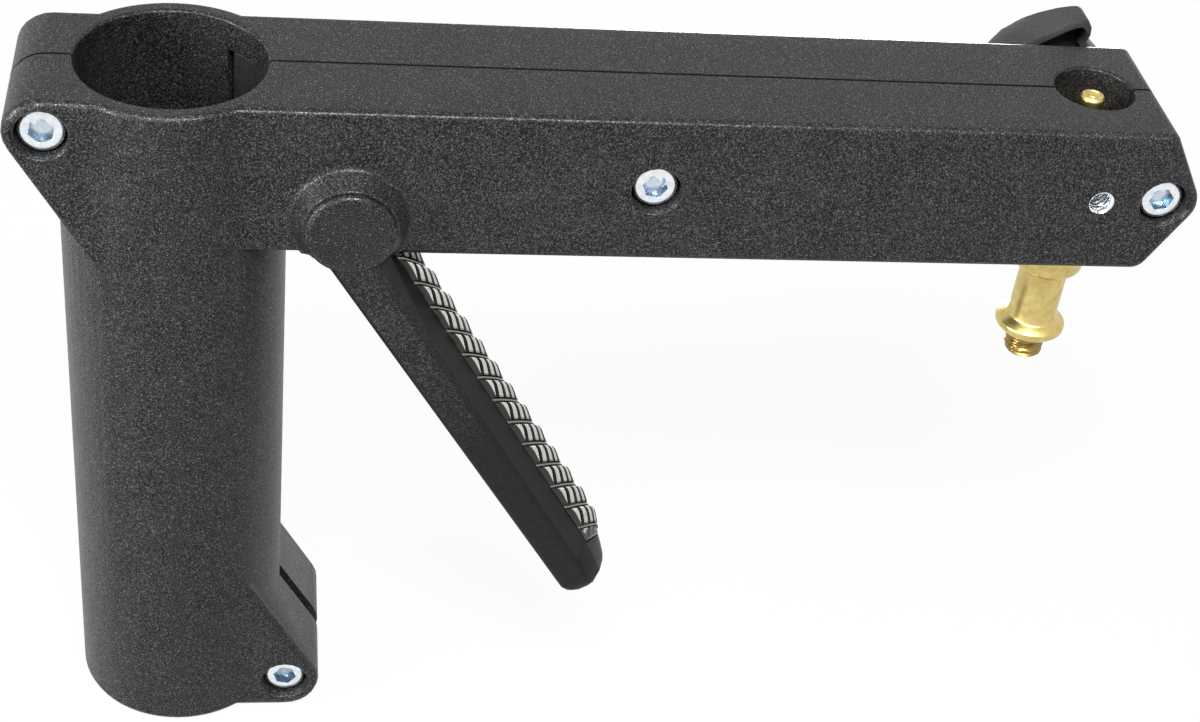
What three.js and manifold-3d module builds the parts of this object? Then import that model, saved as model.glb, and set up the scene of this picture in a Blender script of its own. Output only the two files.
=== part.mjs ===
// Column side arm: a clamp sleeve and long arm cast in two halves, with a cam lever that presses a
// brake shoe on the column, and a brass spigot held by a wing knob at the arm's end.
// Millimetres, +Z up. Origin: column axis at the sleeve's bottom rim. The arm runs along +X,
// the halves part on Y = 0, the lever is on the -Y side.
import * as THREE from 'three';
import { mergeVertices } from 'three/addons/utils/BufferGeometryUtils.js';
import Module from 'manifold-3d';

const wasm = await Module();
wasm.setup();

// Column and sleeve
const COLUMN_D = 40;
const COLUMN_CLEARANCE = 0.3;
const SLEEVE_WALL = 4.55;
const SLEEVE_LENGTH = 178.2;
const SLEEVE_EDGE = 1.5;
const BORE_CHAMFER = 0.8;

// Arm
const ARM_WIDTH = 40.6;
const ARM_HEIGHT = 36;
const ARM_END = 219.7;
const ARM_SIDE_WALL = 3.4;
const ARM_FLOOR = 2.9;
const ARM_EDGE = 1.7;
const NOSE_RISE = 10.3;
const NOSE_RADIUS = 6.2;
const TOP_CORNER = 2.4;
const BOTTOM_CORNER = 4;
const RIB = 2.6;
const SEAM_GAP = 0.6;

// Ears: the upper one beside the column, the lower one under the arm
const UPPER_EAR_REACH = 25.8;
const UPPER_EAR_RADIUS = 8.1;
const LOWER_EAR_REACH = 26.4;
const LOWER_EAR_RADIUS = 8.5;
const EAR_ANGLE = Math.PI / 6;
const EAR_SETBACK = 1.4;
const EAR_SLIT = 2.8;
const EAR_SLIT_STEP = 1;
const EAR_SLIT_HEIGHT = 46;

// Clamp screws and nuts
const SCREW_D = 6;
const SCREW_CLEARANCE = 0.3;
const SCREW_LENGTH = 30;
const SCREW_HEAD_D = 10;
const SCREW_HEAD_HEIGHT = 6;
const SCREW_HEAD_CHAMFER = 0.6;
const SOCKET_ACROSS = 5;
const SOCKET_DEPTH = 3;
const HEAD_RECESS = 2.2;
const HEAD_POCKET_D = 11.2;
const HEAD_POCKET_CHAMFER = 0.8;
const NUT_ACROSS = 10;
const NUT_HEIGHT = 5;
const NUT_CLEARANCE = 0.3;
const BOSS_RADIUS = 8.5;
const MID_SCREW_X = 104.2;
const TIP_SCREW_X = 220.9;

// Spigot, from its upper stud down to its lower thread
const SPIGOT_X = 206;
const SPIGOT_HOLE_D = 18;
const SPIGOT_HOLE_CHAMFER = 0.7;
const SPIGOT_BODY_D = 16.8;
const SPIGOT_NECK_D = 11.5;
const SPIGOT_STUD_D = 5.9;
const SPIGOT_THREAD_D = 9.5;
const STUD_LENGTH = 6.9;
const STUD_CHAMFER = 0.9;
const STUD_COLLAR = 4.8;
const UPPER_NECK = 9.4;
const BODY_BELOW_ARM = 13;
const BODY_TAPER = 1.5;
const LOWER_NECK = 14.6;
const COLLAR_RIM = 1.3;
const COLLAR_SLOPE = 1.3;
const COLLAR_UNDERCUT = 1.6;
const THREAD_LENGTH = 6.8;
const SPIGOT_CHAMFER = 0.8;

// Lever axis, the casting's boss round it, the lever's head and blade
const LEVER_X = 38.2;
const LEVER_ABOVE_FLOOR = 9.3;
const LEVER_ANGLE = 58.07 * Math.PI / 180;
const LEVER_TRAVEL = 20 * Math.PI / 180;
const BOSS_BASE_R = 13.9;
const BOSS_TOP_R = 10.5;
const BOSS_RISE = 5.2;
const BOSS_FILLET = 1.6;
const BOSS_LIP = 0.35;
const HEAD_GAP = 0.3;
const HEAD_R = 9.4;
const HEAD_RISE = 6.9;
const HEAD_ROUND = 1.1;
const HEAD_PROUD = 0.5;
const BLADE_LENGTH = 121.2;
const BLADE_LEFT = 8.67;
const BLADE_REAR_Y = -8;
const BLADE_EDGE = 1.5;
const BLADE_STOP_GAP = 0.4;
const BLADE_SIDE_GAP = 0.6;
const FLANK_TOP = [0.6, 3.6, 7.3];
const FLANK_TIP = [-1.4, 2.2, 4.6];
const CREST_OUT = 5.6;
const CREST_BACK = 7;
const FLANK_END_OUT = 4.2;
const FLANK_END_BACK = 1;
const TIP_ZONE = 16;
const TIP_NARROW = 2.3;
const TIP_SLANT = 3.5;
const TIP_LEFT_ROUND = 1.9;
const TIP_FRONT_ROUND = 1.2;

// Grip insert on the blade's flank: pockets of bulging rubber between slanted ribs
const GRIP_STEPS = 13;
const GRIP_TAIL = 4.6;
const GRIP_PITCH = 7.62;
const GRIP_START = 7.2;
const GRIP_SLANT = 13.7;
const GRIP_DEPTH = 0.9;
const GRIP_GAP = 0.25;
const GRIP_LOW = 0.15;
const GRIP_BULGE = 0.8;
const GRIP_RIB = 0.9;

// Cam shaft, its bearings and the brake shoe
const SHAFT_D = 12;
const SHAFT_RUNNING = 0.08;
const BUSHING_WALL = 1.4;
const BUSHING_LENGTH = 9;
const BUSHING_PRESS = 0.05;
const CHAMBER_HALF = 10.9;
const CHAMBER_LENGTH = 15;
const CHAMBER_HEIGHT = 19;
const ECCENTRIC_D = 6.8;
const ECCENTRIC_OFFSET = 2.6;
const ECCENTRIC_LENGTH = 13;
const ECCENTRIC_BITE = 1;
const SQUARE_ACROSS = 7.5;
const SQUARE_LENGTH = 4.6;
const SQUARE_GAP = 0.12;
const RING_RADIUS = 8.2;
const RING_THICK = 1;
const RING_BITE = 0.8;
const RING_GAP = 0.1;
const WASHER_THICK = 1.2;
const RING_POCKET_DEPTH = 3.2;
const SHOE_HEIGHT = 25;
const SHOE_THICK = 2.7;
const SHOE_RETRACT = 0.5;
const SHOE_HALF_ANGLE = 52 * Math.PI / 180;
const SHOE_GAP = 0.4;
const FORK_WIDTH = 10;
const FORK_WALL = 4;
const FORK_PLAY = 0.2;
const FORK_HEIGHT = 15;
const FORK_EDGE = 0.5;

// Thread inserts, wing knob, its stud and the pad
const INSERT_D = 6.2;
const INSERT_LENGTH = 8;
const INSERT_FLUSH = 0.3;
const INSERT_HOLE_D = 5;
const INSERT_GAP = 0.05;
const WING_BUSHING_D = 10;
const STUD_RUNNING = 0.06;
const WING_STUD_LENGTH = 19;
const PAD_D = 7;
const PAD_LENGTH = 4.2;
const PAD_GAP = 0.3;
const PAD_RUNNING = 0.3;
const PAD_TRAVEL = 2;
const WING_STANDOFF = 4.7;
const WING_THICK = 11;
const WING_TIP_THICK = 5.6;
const WING_BODY_R = 16.9;
const WING_TIP_R = 22.4;
const WING_TIP_ANGLE = 77 * Math.PI / 180;
const WING_RIM = 2;
const WING_CORE_DEPTH = 6.5;
const WING_COLLAR_R = 7.4;
const WING_HUB_R = 9.4;
const WING_COLLAR_GAP = 0.4;
const WING_EDGE = 0.8;

// Shared reach that every cutting tool runs past the face it opens
const PAST = 5;

// Facets round a full turn
const FINE = 60;
const ROUND = 32;
const SMALL = 18;

// Sizes that follow from the ones above
const HALF_ARM = ARM_WIDTH / 2;
const BORE_R = COLUMN_D / 2 + COLUMN_CLEARANCE;
const SLEEVE_R = BORE_R + SLEEVE_WALL;
const ARM_BOTTOM = SLEEVE_LENGTH - ARM_HEIGHT;
const ARM_MIDDLE = SLEEVE_LENGTH - ARM_HEIGHT / 2;
const FLOOR_Z = ARM_BOTTOM + ARM_FLOOR;
const LEVER_Z = ARM_BOTTOM + LEVER_ABOVE_FLOOR;
const FRONT_Y = -HALF_ARM;
const HEAD_BACK_Y = FRONT_Y - HEAD_GAP;
const HEAD_FRONT_Y = FRONT_Y - HEAD_RISE;
const BLADE_FRONT_Y = HEAD_FRONT_Y + HEAD_PROUD;
const SCREW_SEAT = HALF_ARM - HEAD_RECESS - SCREW_HEAD_HEIGHT;
const NUT_SEAT = SCREW_LENGTH - SCREW_SEAT - NUT_HEIGHT;
const BUSHING_R = SHAFT_D / 2 + SHAFT_RUNNING + BUSHING_WALL;
const SPIGOT_R = SPIGOT_BODY_D / 2;
const NECK_R = SPIGOT_NECK_D / 2;
const PAD_FRONT = NECK_R + PAD_GAP;
const PAD_END = PAD_FRONT + PAD_LENGTH;
const WING_BUSHING_START = PAD_END + PAD_TRAVEL + STUD_RUNNING;
const STUD_START = PAD_END + RING_GAP;
const STUD_END = STUD_START + WING_STUD_LENGTH;
const SHOE_TRAVEL = 2 * ECCENTRIC_OFFSET * Math.sin(LEVER_TRAVEL / 2);

const materials = {
  coat: new THREE.MeshStandardMaterial({ color: 0x3b3c3e, roughness: 0.62, metalness: 0.25 }),
  grip: new THREE.MeshStandardMaterial({ color: 0x202020, roughness: 0.4, metalness: 0 }),
  zinc: new THREE.MeshStandardMaterial({ color: 0xc3cbd3, roughness: 0.3, metalness: 0.9 }),
  steel: new THREE.MeshStandardMaterial({ color: 0x8f9296, roughness: 0.35, metalness: 0.9 }),
  brass: new THREE.MeshStandardMaterial({ color: 0xd0ae45, roughness: 0.25, metalness: 0.95 }),
  plastic: new THREE.MeshStandardMaterial({ color: 0x2f3031, roughness: 0.6, metalness: 0 }),
  pad: new THREE.MeshStandardMaterial({ color: 0x55524c, roughness: 0.7, metalness: 0 }),
};

// Helpers for closed solids

function signedVolume(position, index) {
  const a = new THREE.Vector3();
  const b = new THREE.Vector3();
  const c = new THREE.Vector3();
  let sum = 0;
  for (let i = 0; i < index.length; i += 3) {
    a.fromBufferAttribute(position, index[i]);
    b.fromBufferAttribute(position, index[i + 1]);
    c.fromBufferAttribute(position, index[i + 2]);
    sum += a.dot(b.cross(c));
  }
  return sum / 6;
}

function welded(geometry) {
  const bare = geometry.clone();
  bare.deleteAttribute('normal');
  bare.deleteAttribute('uv');
  const merged = mergeVertices(bare, 1e-5);
  const old = merged.index.array;
  const kept = [];
  for (let i = 0; i < old.length; i += 3) {
    const [a, b, c] = [old[i], old[i + 1], old[i + 2]];
    if (a !== b && b !== c && a !== c) kept.push(a, b, c);
  }
  if (signedVolume(merged.attributes.position, kept) < 0) kept.reverse();
  merged.setIndex(kept);
  return merged;
}

function solid(geometry) {
  const closed = welded(geometry);
  return new wasm.Manifold(new wasm.Mesh({
    numProp: 3,
    vertProperties: new Float32Array(closed.attributes.position.array),
    triVerts: new Uint32Array(closed.index.array),
  }));
}

function toGeometry(body) {
  const { vertProperties, triVerts } = body.getMesh();
  const geometry = new THREE.BufferGeometry();
  geometry.setAttribute('position', new THREE.BufferAttribute(new Float32Array(vertProperties), 3));
  geometry.setIndex(new THREE.BufferAttribute(new Uint32Array(triVerts), 1));
  geometry.computeVertexNormals();
  return geometry;
}

function mesh(name, body, material) {
  const part = new THREE.Mesh(toGeometry(body), material);
  part.name = name;
  return part;
}

function joined(bodies) {
  return bodies.reduce((sum, body) => sum.add(body));
}

function without(body, cuts) {
  return cuts.reduce((left, cut) => left.subtract(cut), body);
}

// Primitive tools, each placed in the object's frame

function box(low, high) {
  const size = high.map((value, axis) => value - low[axis]);
  const geometry = new THREE.BoxGeometry(...size);
  return solid(geometry.translate(...low.map((value, axis) => value + size[axis] / 2)));
}

function alongY(x, z, radius, y0, y1, segments = ROUND) {
  const geometry = new THREE.CylinderGeometry(radius, radius, y1 - y0, segments);
  return solid(geometry.translate(x, (y0 + y1) / 2, z));
}

function hexAlongY(x, z, across, y0, y1) {
  return alongY(x, z, across / Math.sqrt(3), y0, y1, 6);
}

function revolvedY(profile, x, z, segments = ROUND) {
  const points = profile.map(([radius, y]) => new THREE.Vector2(radius, y));
  return solid(new THREE.LatheGeometry(points, segments).translate(x, 0, z));
}

function revolvedZ(profile, x, segments = ROUND) {
  const points = profile.map(([radius, z]) => new THREE.Vector2(radius, z));
  const geometry = new THREE.LatheGeometry(points, segments);
  return solid(geometry.rotateX(Math.PI / 2).scale(1, -1, 1).translate(x, 0, 0));
}

// Outline in X and Z, drawn out across the arm between y0 and y1
function drawnAcross(outline, y0, y1, bevel = 0) {
  const shape = new THREE.Shape(outline.map(([x, z]) => new THREE.Vector2(x, z)));
  const geometry = new THREE.ExtrudeGeometry(shape, {
    depth: y1 - y0 - 2 * bevel,
    bevelEnabled: bevel > 0,
    bevelThickness: bevel,
    bevelSize: bevel,
    bevelOffset: -bevel,
    bevelSegments: 2,
    steps: 1,
  });
  return solid(geometry.rotateX(Math.PI / 2).translate(0, y1 - bevel, 0));
}

// Polygon whose corners [x, z, radius] are rounded by arcs
function rounded(corners, steps = 4) {
  const outline = [];
  corners.forEach(([x, z, radius], i) => {
    const here = new THREE.Vector2(x, z);
    if (!radius) {
      outline.push([x, z]);
      return;
    }
    const before = new THREE.Vector2(...corners[(i + corners.length - 1) % corners.length]).sub(here);
    const after = new THREE.Vector2(...corners[(i + 1) % corners.length]).sub(here);
    before.normalize();
    after.normalize();
    const half = Math.acos(before.dot(after)) / 2;
    const toCentre = before.clone().add(after).normalize().multiplyScalar(radius / Math.sin(half));
    const centre = here.clone().add(toCentre);
    const start = here.clone().addScaledVector(before, radius / Math.tan(half)).sub(centre);
    const turn = Math.PI - 2 * half;
    const sense = Math.sign(before.cross(after)) || 1;
    for (let step = 0; step <= steps; step += 1) {
      const point = start.clone().rotateAround(new THREE.Vector2(), -sense * turn * step / steps);
      outline.push([centre.x + point.x, centre.y + point.y]);
    }
  });
  return outline;
}

function arc(x, z, radius, from, to, steps) {
  return Array.from({ length: steps + 1 }, (_, i) => {
    const angle = from + (to - from) * i / steps;
    return [x + radius * Math.cos(angle), z + radius * Math.sin(angle)];
  });
}

// Rings of matching points joined side by side; each ring carries its flat outline for the caps
function lofted(rings) {
  const count = rings[0].points.length;
  const positions = rings.flatMap((ring) => ring.points.flatMap((point) => point.toArray()));
  const index = [];
  for (let row = 0; row + 1 < rings.length; row += 1) {
    for (let i = 0; i < count; i += 1) {
      const a = row * count + i;
      const b = row * count + (i + 1) % count;
      index.push(a, b, a + count, b, b + count, a + count);
    }
  }
  [0, rings.length - 1].forEach((row) => {
    const flat = rings[row].outline.map(([u, v]) => new THREE.Vector2(u, v));
    const clockwise = THREE.ShapeUtils.isClockWise(flat);
    THREE.ShapeUtils.triangulateShape(flat, []).forEach(([a, b, c]) => {
      const face = [a, b, c].map((i) => i + row * count);
      const flip = (row === 0) !== clockwise;
      index.push(...(flip ? face.reverse() : face));
    });
  });
  const geometry = new THREE.BufferGeometry();
  geometry.setAttribute('position', new THREE.Float32BufferAttribute(positions, 3));
  geometry.setIndex(index);
  return solid(geometry);
}

// Quarter round in two chords: shares of its radius at the start, middle and end
const edgeShares = [1, 0.29, 0];

// Two-part casting

function sleeveBody() {
  const edge = edgeShares.map((share) => share * SLEEVE_EDGE);
  const bottom = [[SLEEVE_R - edge[0], 0], [SLEEVE_R - edge[1], edge[1]], [SLEEVE_R, edge[0]]];
  const top = bottom.map(([radius, z]) => [radius, SLEEVE_LENGTH - z]).reverse();
  return revolvedZ([[0, 0], ...bottom, ...top, [0, SLEEVE_LENGTH]], 0, FINE);
}

function armBody() {
  const outline = rounded([
    [0, ARM_BOTTOM, 0],
    [ARM_END, ARM_BOTTOM, BOTTOM_CORNER],
    [ARM_END + NOSE_RISE, ARM_MIDDLE, NOSE_RADIUS],
    [ARM_END, SLEEVE_LENGTH, TOP_CORNER],
    [0, SLEEVE_LENGTH, 0],
  ]);
  return drawnAcross(outline, -HALF_ARM, HALF_ARM, ARM_EDGE);
}

const ears = {
  upper: { reach: UPPER_EAR_REACH, radius: UPPER_EAR_RADIUS, setback: EAR_SETBACK, turned: false },
  lower: { reach: LOWER_EAR_REACH, radius: LOWER_EAR_RADIUS, setback: 0, turned: true },
};

// Outline of the upper ear; the lower ear is drawn the same way and turned by half a turn
function earOutline({ reach, radius, turned }) {
  const inside = -BORE_R / 2;
  const end = arc(-reach, SLEEVE_LENGTH - radius, radius, Math.PI / 2, Math.PI + EAR_ANGLE, 8);
  const [lastX, lastZ] = end[end.length - 1];
  const outline = [
    [inside, SLEEVE_LENGTH],
    ...end,
    [inside, lastZ - (inside - lastX) / Math.tan(EAR_ANGLE)],
  ];
  return turned ? outline.map(([x, z]) => [-x, SLEEVE_LENGTH - z]) : outline;
}

function earBody(ear) {
  return drawnAcross(earOutline(ear), -HALF_ARM, HALF_ARM - ear.setback, ARM_EDGE);
}

const screwSites = [
  { name: 'upper_ear', x: -UPPER_EAR_REACH, z: SLEEVE_LENGTH - UPPER_EAR_RADIUS },
  { name: 'arm', x: MID_SCREW_X, z: ARM_MIDDLE },
  { name: 'tip', x: TIP_SCREW_X, z: ARM_MIDDLE },
  { name: 'lower_ear', x: LOWER_EAR_REACH, z: LOWER_EAR_RADIUS },
];

// Boss round the lever's head: a cone with a concave foot, cut flush with the arm's underside
function leverBoss() {
  const y = (height) => FRONT_Y - height;
  const slope = Math.atan((BOSS_BASE_R - BOSS_FILLET - BOSS_TOP_R) / BOSS_RISE) + Math.PI / 18;
  const foot = Array.from({ length: 5 }, (_, i) => {
    const turn = (Math.PI / 2 - slope) * i / 4;
    return [BOSS_BASE_R - BOSS_FILLET * Math.sin(turn), y(BOSS_FILLET * (1 - Math.cos(turn)))];
  });
  const root = FRONT_Y + ARM_SIDE_WALL;
  const cone = revolvedY([
    [0, root],
    [BOSS_BASE_R - BOSS_FILLET, root],
    [BOSS_BASE_R - BOSS_FILLET, FRONT_Y + BOSS_LIP],
    [BOSS_BASE_R, FRONT_Y + BOSS_LIP],
    ...foot,
    [BOSS_TOP_R, y(BOSS_RISE - BOSS_LIP)],
    [BOSS_TOP_R - BOSS_LIP, y(BOSS_RISE)],
    [0, y(BOSS_RISE)],
  ], LEVER_X, LEVER_Z);
  const reach = BOSS_BASE_R + PAST;
  return cone.intersect(box(
    [LEVER_X - reach, -ARM_WIDTH, ARM_BOTTOM],
    [LEVER_X + reach, 0, SLEEVE_LENGTH],
  ));
}

// The lever's head turns in the boss, and its blade swings through the boss's open lower side
function headRoom() {
  const bore = alongY(LEVER_X, LEVER_Z, HEAD_R + HEAD_GAP, -ARM_WIDTH, FRONT_Y);
  const left = -BLADE_LEFT - BLADE_SIDE_GAP;
  const right = FLANK_TOP[1] + BLADE_SIDE_GAP;
  const sweep = [0, LEVER_TRAVEL].map((angle) => {
    const room = new THREE.BoxGeometry(right - left, ARM_WIDTH, BLADE_LENGTH);
    room.translate((right + left) / 2, FRONT_Y - ARM_WIDTH / 2, -BLADE_LENGTH / 2);
    room.rotateY(angle + LEVER_ANGLE - Math.PI / 2);
    return solid(room.translate(LEVER_X, 0, LEVER_Z));
  });
  return [bore, ...sweep];
}

function columnBore() {
  const outer = BORE_R + BORE_CHAMFER + PAST;
  return revolvedZ([
    [0, -PAST],
    [outer, -PAST],
    [BORE_R, BORE_CHAMFER],
    [BORE_R, SLEEVE_LENGTH - BORE_CHAMFER],
    [outer, SLEEVE_LENGTH + PAST],
    [0, SLEEVE_LENGTH + PAST],
  ], 0, FINE);
}

function spigotHole() {
  const radius = SPIGOT_HOLE_D / 2;
  const outer = radius + SPIGOT_HOLE_CHAMFER + PAST;
  return revolvedZ([
    [0, ARM_BOTTOM - PAST],
    [outer, ARM_BOTTOM - PAST],
    [radius, ARM_BOTTOM + SPIGOT_HOLE_CHAMFER],
    [radius, SLEEVE_LENGTH - SPIGOT_HOLE_CHAMFER],
    [outer, SLEEVE_LENGTH + PAST],
    [0, SLEEVE_LENGTH + PAST],
  ], SPIGOT_X);
}

function shoePocket() {
  const inner = BORE_R - SLEEVE_WALL;
  const outer = BORE_R + SHOE_RETRACT + SHOE_THICK + SHOE_GAP;
  const half = SHOE_HALF_ANGLE + (SHOE_GAP + SHOE_TRAVEL) / BORE_R;
  const rim = arc(0, 0, outer, -half, half, 16);
  const outline = [...rim, ...arc(0, 0, inner, half, -half, 8)];
  const shape = new THREE.Shape(outline.map(([x, y]) => new THREE.Vector2(x, y)));
  const depth = SHOE_HEIGHT + 2 * SHOE_GAP;
  return solid(new THREE.ExtrudeGeometry(shape, { depth, bevelEnabled: false, steps: 1 })
    .translate(0, 0, FLOOR_Z));
}

function camChamber() {
  const length = LEVER_X + CHAMBER_LENGTH;
  return box([BORE_R, -CHAMBER_HALF, FLOOR_Z], [length, CHAMBER_HALF, FLOOR_Z + CHAMBER_HEIGHT]);
}

// Cross walls in the hollow arm, clear of the middle screw's boss
const cavityWallShares = [1 / 6, 2 / 3];

function armCavity() {
  const side = HALF_ARM - ARM_SIDE_WALL;
  const from = LEVER_X + CHAMBER_LENGTH + RIB;
  const to = SPIGOT_X - SPIGOT_HOLE_D / 2 - 2 * RIB;
  const roof = SLEEVE_LENGTH - ARM_FLOOR;
  const hollow = box([from, -side, FLOOR_Z], [to, side, roof]);
  const boss = alongY(MID_SCREW_X, ARM_MIDDLE, BOSS_RADIUS, -HALF_ARM, HALF_ARM);
  const walls = cavityWallShares.map((share) => {
    const x = from + (to - from) * share;
    return box([x, -side - PAST, FLOOR_Z - PAST], [x + RIB, side + PAST, roof + PAST]);
  });
  return without(hollow, [boss, ...walls]);
}

function screwCuts({ x, z }) {
  const lip = HEAD_POCKET_D / 2 + HEAD_POCKET_CHAMFER + PAST;
  const shank = SCREW_D / 2 + SCREW_CLEARANCE;
  const pocket = revolvedY([
    [0, -SCREW_SEAT],
    [HEAD_POCKET_D / 2, -SCREW_SEAT],
    [HEAD_POCKET_D / 2, FRONT_Y + HEAD_POCKET_CHAMFER],
    [lip, FRONT_Y - PAST],
    [0, FRONT_Y - PAST],
  ], x, z, SMALL);
  const hole = alongY(x, z, shank, -HALF_ARM, HALF_ARM, SMALL);
  const nut = hexAlongY(x, z, NUT_ACROSS + 2 * NUT_CLEARANCE, NUT_SEAT, HALF_ARM + PAST);
  return [pocket, hole, nut];
}

function shaftCuts() {
  const bearing = alongY(LEVER_X, LEVER_Z, BUSHING_R + BUSHING_PRESS, -HALF_ARM - PAST, HALF_ARM + PAST);
  const ringPocket = alongY(
    LEVER_X, LEVER_Z, RING_RADIUS + RING_THICK, HALF_ARM - RING_POCKET_DEPTH, HALF_ARM + PAST,
  );
  return [bearing, ringPocket];
}

function insertCuts() {
  const front = alongY(
    SPIGOT_X, ARM_MIDDLE, INSERT_D / 2 + INSERT_GAP, FRONT_Y - PAST, FRONT_Y + INSERT_FLUSH + INSERT_LENGTH,
    SMALL,
  );
  const frontHole = alongY(SPIGOT_X, ARM_MIDDLE, INSERT_HOLE_D / 2, FRONT_Y, 0, SMALL);
  const rear = alongY(
    SPIGOT_X, ARM_MIDDLE, WING_BUSHING_D / 2 + INSERT_GAP, WING_BUSHING_START, HALF_ARM + PAST,
    SMALL,
  );
  const padWay = alongY(SPIGOT_X, ARM_MIDDLE, PAD_D / 2 + PAD_RUNNING, 0, HALF_ARM, SMALL);
  return [front, frontHole, rear, padWay];
}

// Wide slit between the halves at the lower ear, stepped back behind its screw's land
function earSlits() {
  const half = EAR_SLIT / 2;
  const start = BORE_R + SLEEVE_WALL / 2;
  const end = LOWER_EAR_REACH + LOWER_EAR_RADIUS + PAST;
  const land = alongY(LOWER_EAR_REACH, LOWER_EAR_RADIUS, LOWER_EAR_RADIUS * 3 / 4, 0, HALF_ARM);
  return [
    box([start, -half, -PAST], [end, half, EAR_SLIT_HEIGHT]),
    box([start, 0, -PAST], [end, half + EAR_SLIT_STEP, EAR_SLIT_HEIGHT]).subtract(land),
  ];
}

function seamCut() {
  const half = SEAM_GAP / 2;
  const reach = ARM_END + NOSE_RISE + PAST;
  const slab = box([-reach, -half, -PAST], [reach, half, SLEEVE_LENGTH + PAST]);
  const bosses = screwSites.slice(1, 3).map(({ x, z }) => (
    alongY(x, z, HEAD_POCKET_D / 2, -ARM_WIDTH, ARM_WIDTH, SMALL)
  ));
  return without(slab, bosses);
}

function castings() {
  const whole = joined([sleeveBody(), armBody(), earBody(ears.upper), earBody(ears.lower), leverBoss()]);
  const machined = without(whole, [
    columnBore(),
    spigotHole(),
    shoePocket(),
    camChamber(),
    armCavity(),
    ...screwSites.flatMap(screwCuts),
    ...shaftCuts(),
    ...headRoom(),
    ...insertCuts(),
    ...earSlits(),
    seamCut(),
  ]);
  const reach = ARM_END + NOSE_RISE + PAST;
  const front = box([-reach, -ARM_WIDTH, -PAST], [reach, 0, SLEEVE_LENGTH + PAST]);
  const rear = box([-reach, 0, -PAST], [reach, ARM_WIDTH, SLEEVE_LENGTH + PAST]);
  return [
    mesh('front_shell', machined.intersect(front), materials.coat),
    mesh('rear_shell', machined.intersect(rear), materials.coat),
  ];
}

// Screws and nuts

function capScrew({ name, x, z }) {
  const head = SCREW_HEAD_D / 2;
  const seat = -SCREW_SEAT;
  const top = seat - SCREW_HEAD_HEIGHT;
  const tip = seat + SCREW_LENGTH;
  const body = revolvedY([
    [0, top],
    [head - SCREW_HEAD_CHAMFER, top],
    [head, top + SCREW_HEAD_CHAMFER],
    [head, seat],
    [SCREW_D / 2, seat],
    [SCREW_D / 2, tip - SCREW_HEAD_CHAMFER],
    [SCREW_D / 2 - SCREW_HEAD_CHAMFER, tip],
    [0, tip],
  ], x, z, SMALL);
  const socket = hexAlongY(x, z, SOCKET_ACROSS, top - PAST, top + SOCKET_DEPTH);
  return mesh(`${name}_screw`, body.subtract(socket), materials.zinc);
}

function hexNut({ name, x, z }) {
  const outer = NUT_ACROSS / Math.sqrt(3);
  const inner = SCREW_D / 2 + INSERT_GAP;
  const body = hexAlongY(x, z, NUT_ACROSS, NUT_SEAT, NUT_SEAT + NUT_HEIGHT);
  const crown = revolvedY([
    [0, NUT_SEAT],
    [NUT_ACROSS / 2, NUT_SEAT],
    [outer, NUT_SEAT + SCREW_HEAD_CHAMFER],
    [outer, NUT_SEAT + NUT_HEIGHT - SCREW_HEAD_CHAMFER],
    [NUT_ACROSS / 2, NUT_SEAT + NUT_HEIGHT],
    [0, NUT_SEAT + NUT_HEIGHT],
  ], x, z, SMALL);
  const hole = alongY(x, z, inner, NUT_SEAT - PAST, NUT_SEAT + NUT_HEIGHT + PAST, SMALL);
  return mesh(`${name}_nut`, body.intersect(crown).subtract(hole), materials.zinc);
}

// Lever: hub turned on the lever's axis, blade lofted along it, relieved where it passes the arm

const along = new THREE.Vector3(Math.cos(LEVER_ANGLE), 0, -Math.sin(LEVER_ANGLE));
const outward = new THREE.Vector3(Math.sin(LEVER_ANGLE), 0, Math.cos(LEVER_ANGLE));

function leverPoint(s, w, y) {
  return new THREE.Vector3(LEVER_X, y, LEVER_Z).addScaledVector(along, s).addScaledVector(outward, w);
}

function mix(a, b, share) {
  return a + (b - a) * share;
}

// Flank of the blade at station s: ridge, start of the grip band, and the band's curve
function flankAt(s) {
  const share = THREE.MathUtils.clamp(s / BLADE_LENGTH, 0, 1);
  const [ridge, bandOut, bandBack] = FLANK_TOP.map((value, i) => mix(value, FLANK_TIP[i], share));
  const past = Math.max(0, s - (BLADE_LENGTH - TIP_ZONE)) / TIP_ZONE;
  const draw = TIP_NARROW * past * past;
  const start = new THREE.Vector2(bandOut - draw / 2, BLADE_FRONT_Y + bandBack);
  const crest = new THREE.Vector2(CREST_OUT - draw, BLADE_REAR_Y - CREST_BACK);
  const end = new THREE.Vector2(FLANK_END_OUT - draw, BLADE_REAR_Y - FLANK_END_BACK);
  return { ridge: ridge - draw / 4, band: new THREE.QuadraticBezierCurve(start, crest, end) };
}

function bandPoint(band, u, rise) {
  const point = band.getPoint(u);
  const tangent = band.getTangent(u);
  return [point.x + rise * tangent.y, point.y - rise * tangent.x];
}

const ribsEnd = GRIP_START + GRIP_STEPS * GRIP_PITCH;
const gripEnd = ribsEnd + GRIP_TAIL;

// Lean of the ribs along the blade, which eases off between the last rib and the tip
function slantAt(s) {
  const past = THREE.MathUtils.clamp((s - ribsEnd) / (BLADE_LENGTH - ribsEnd), 0, 1);
  return mix(GRIP_SLANT, TIP_SLANT, past);
}

// Stations over the flank's curve, with the grip's bed between two of them
const bedShares = [0.008, 0.92];
const flankShares = [0, 0.005, 0.01, 0.3, 0.5, 0.7, 0.91, 0.93, 1];

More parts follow.
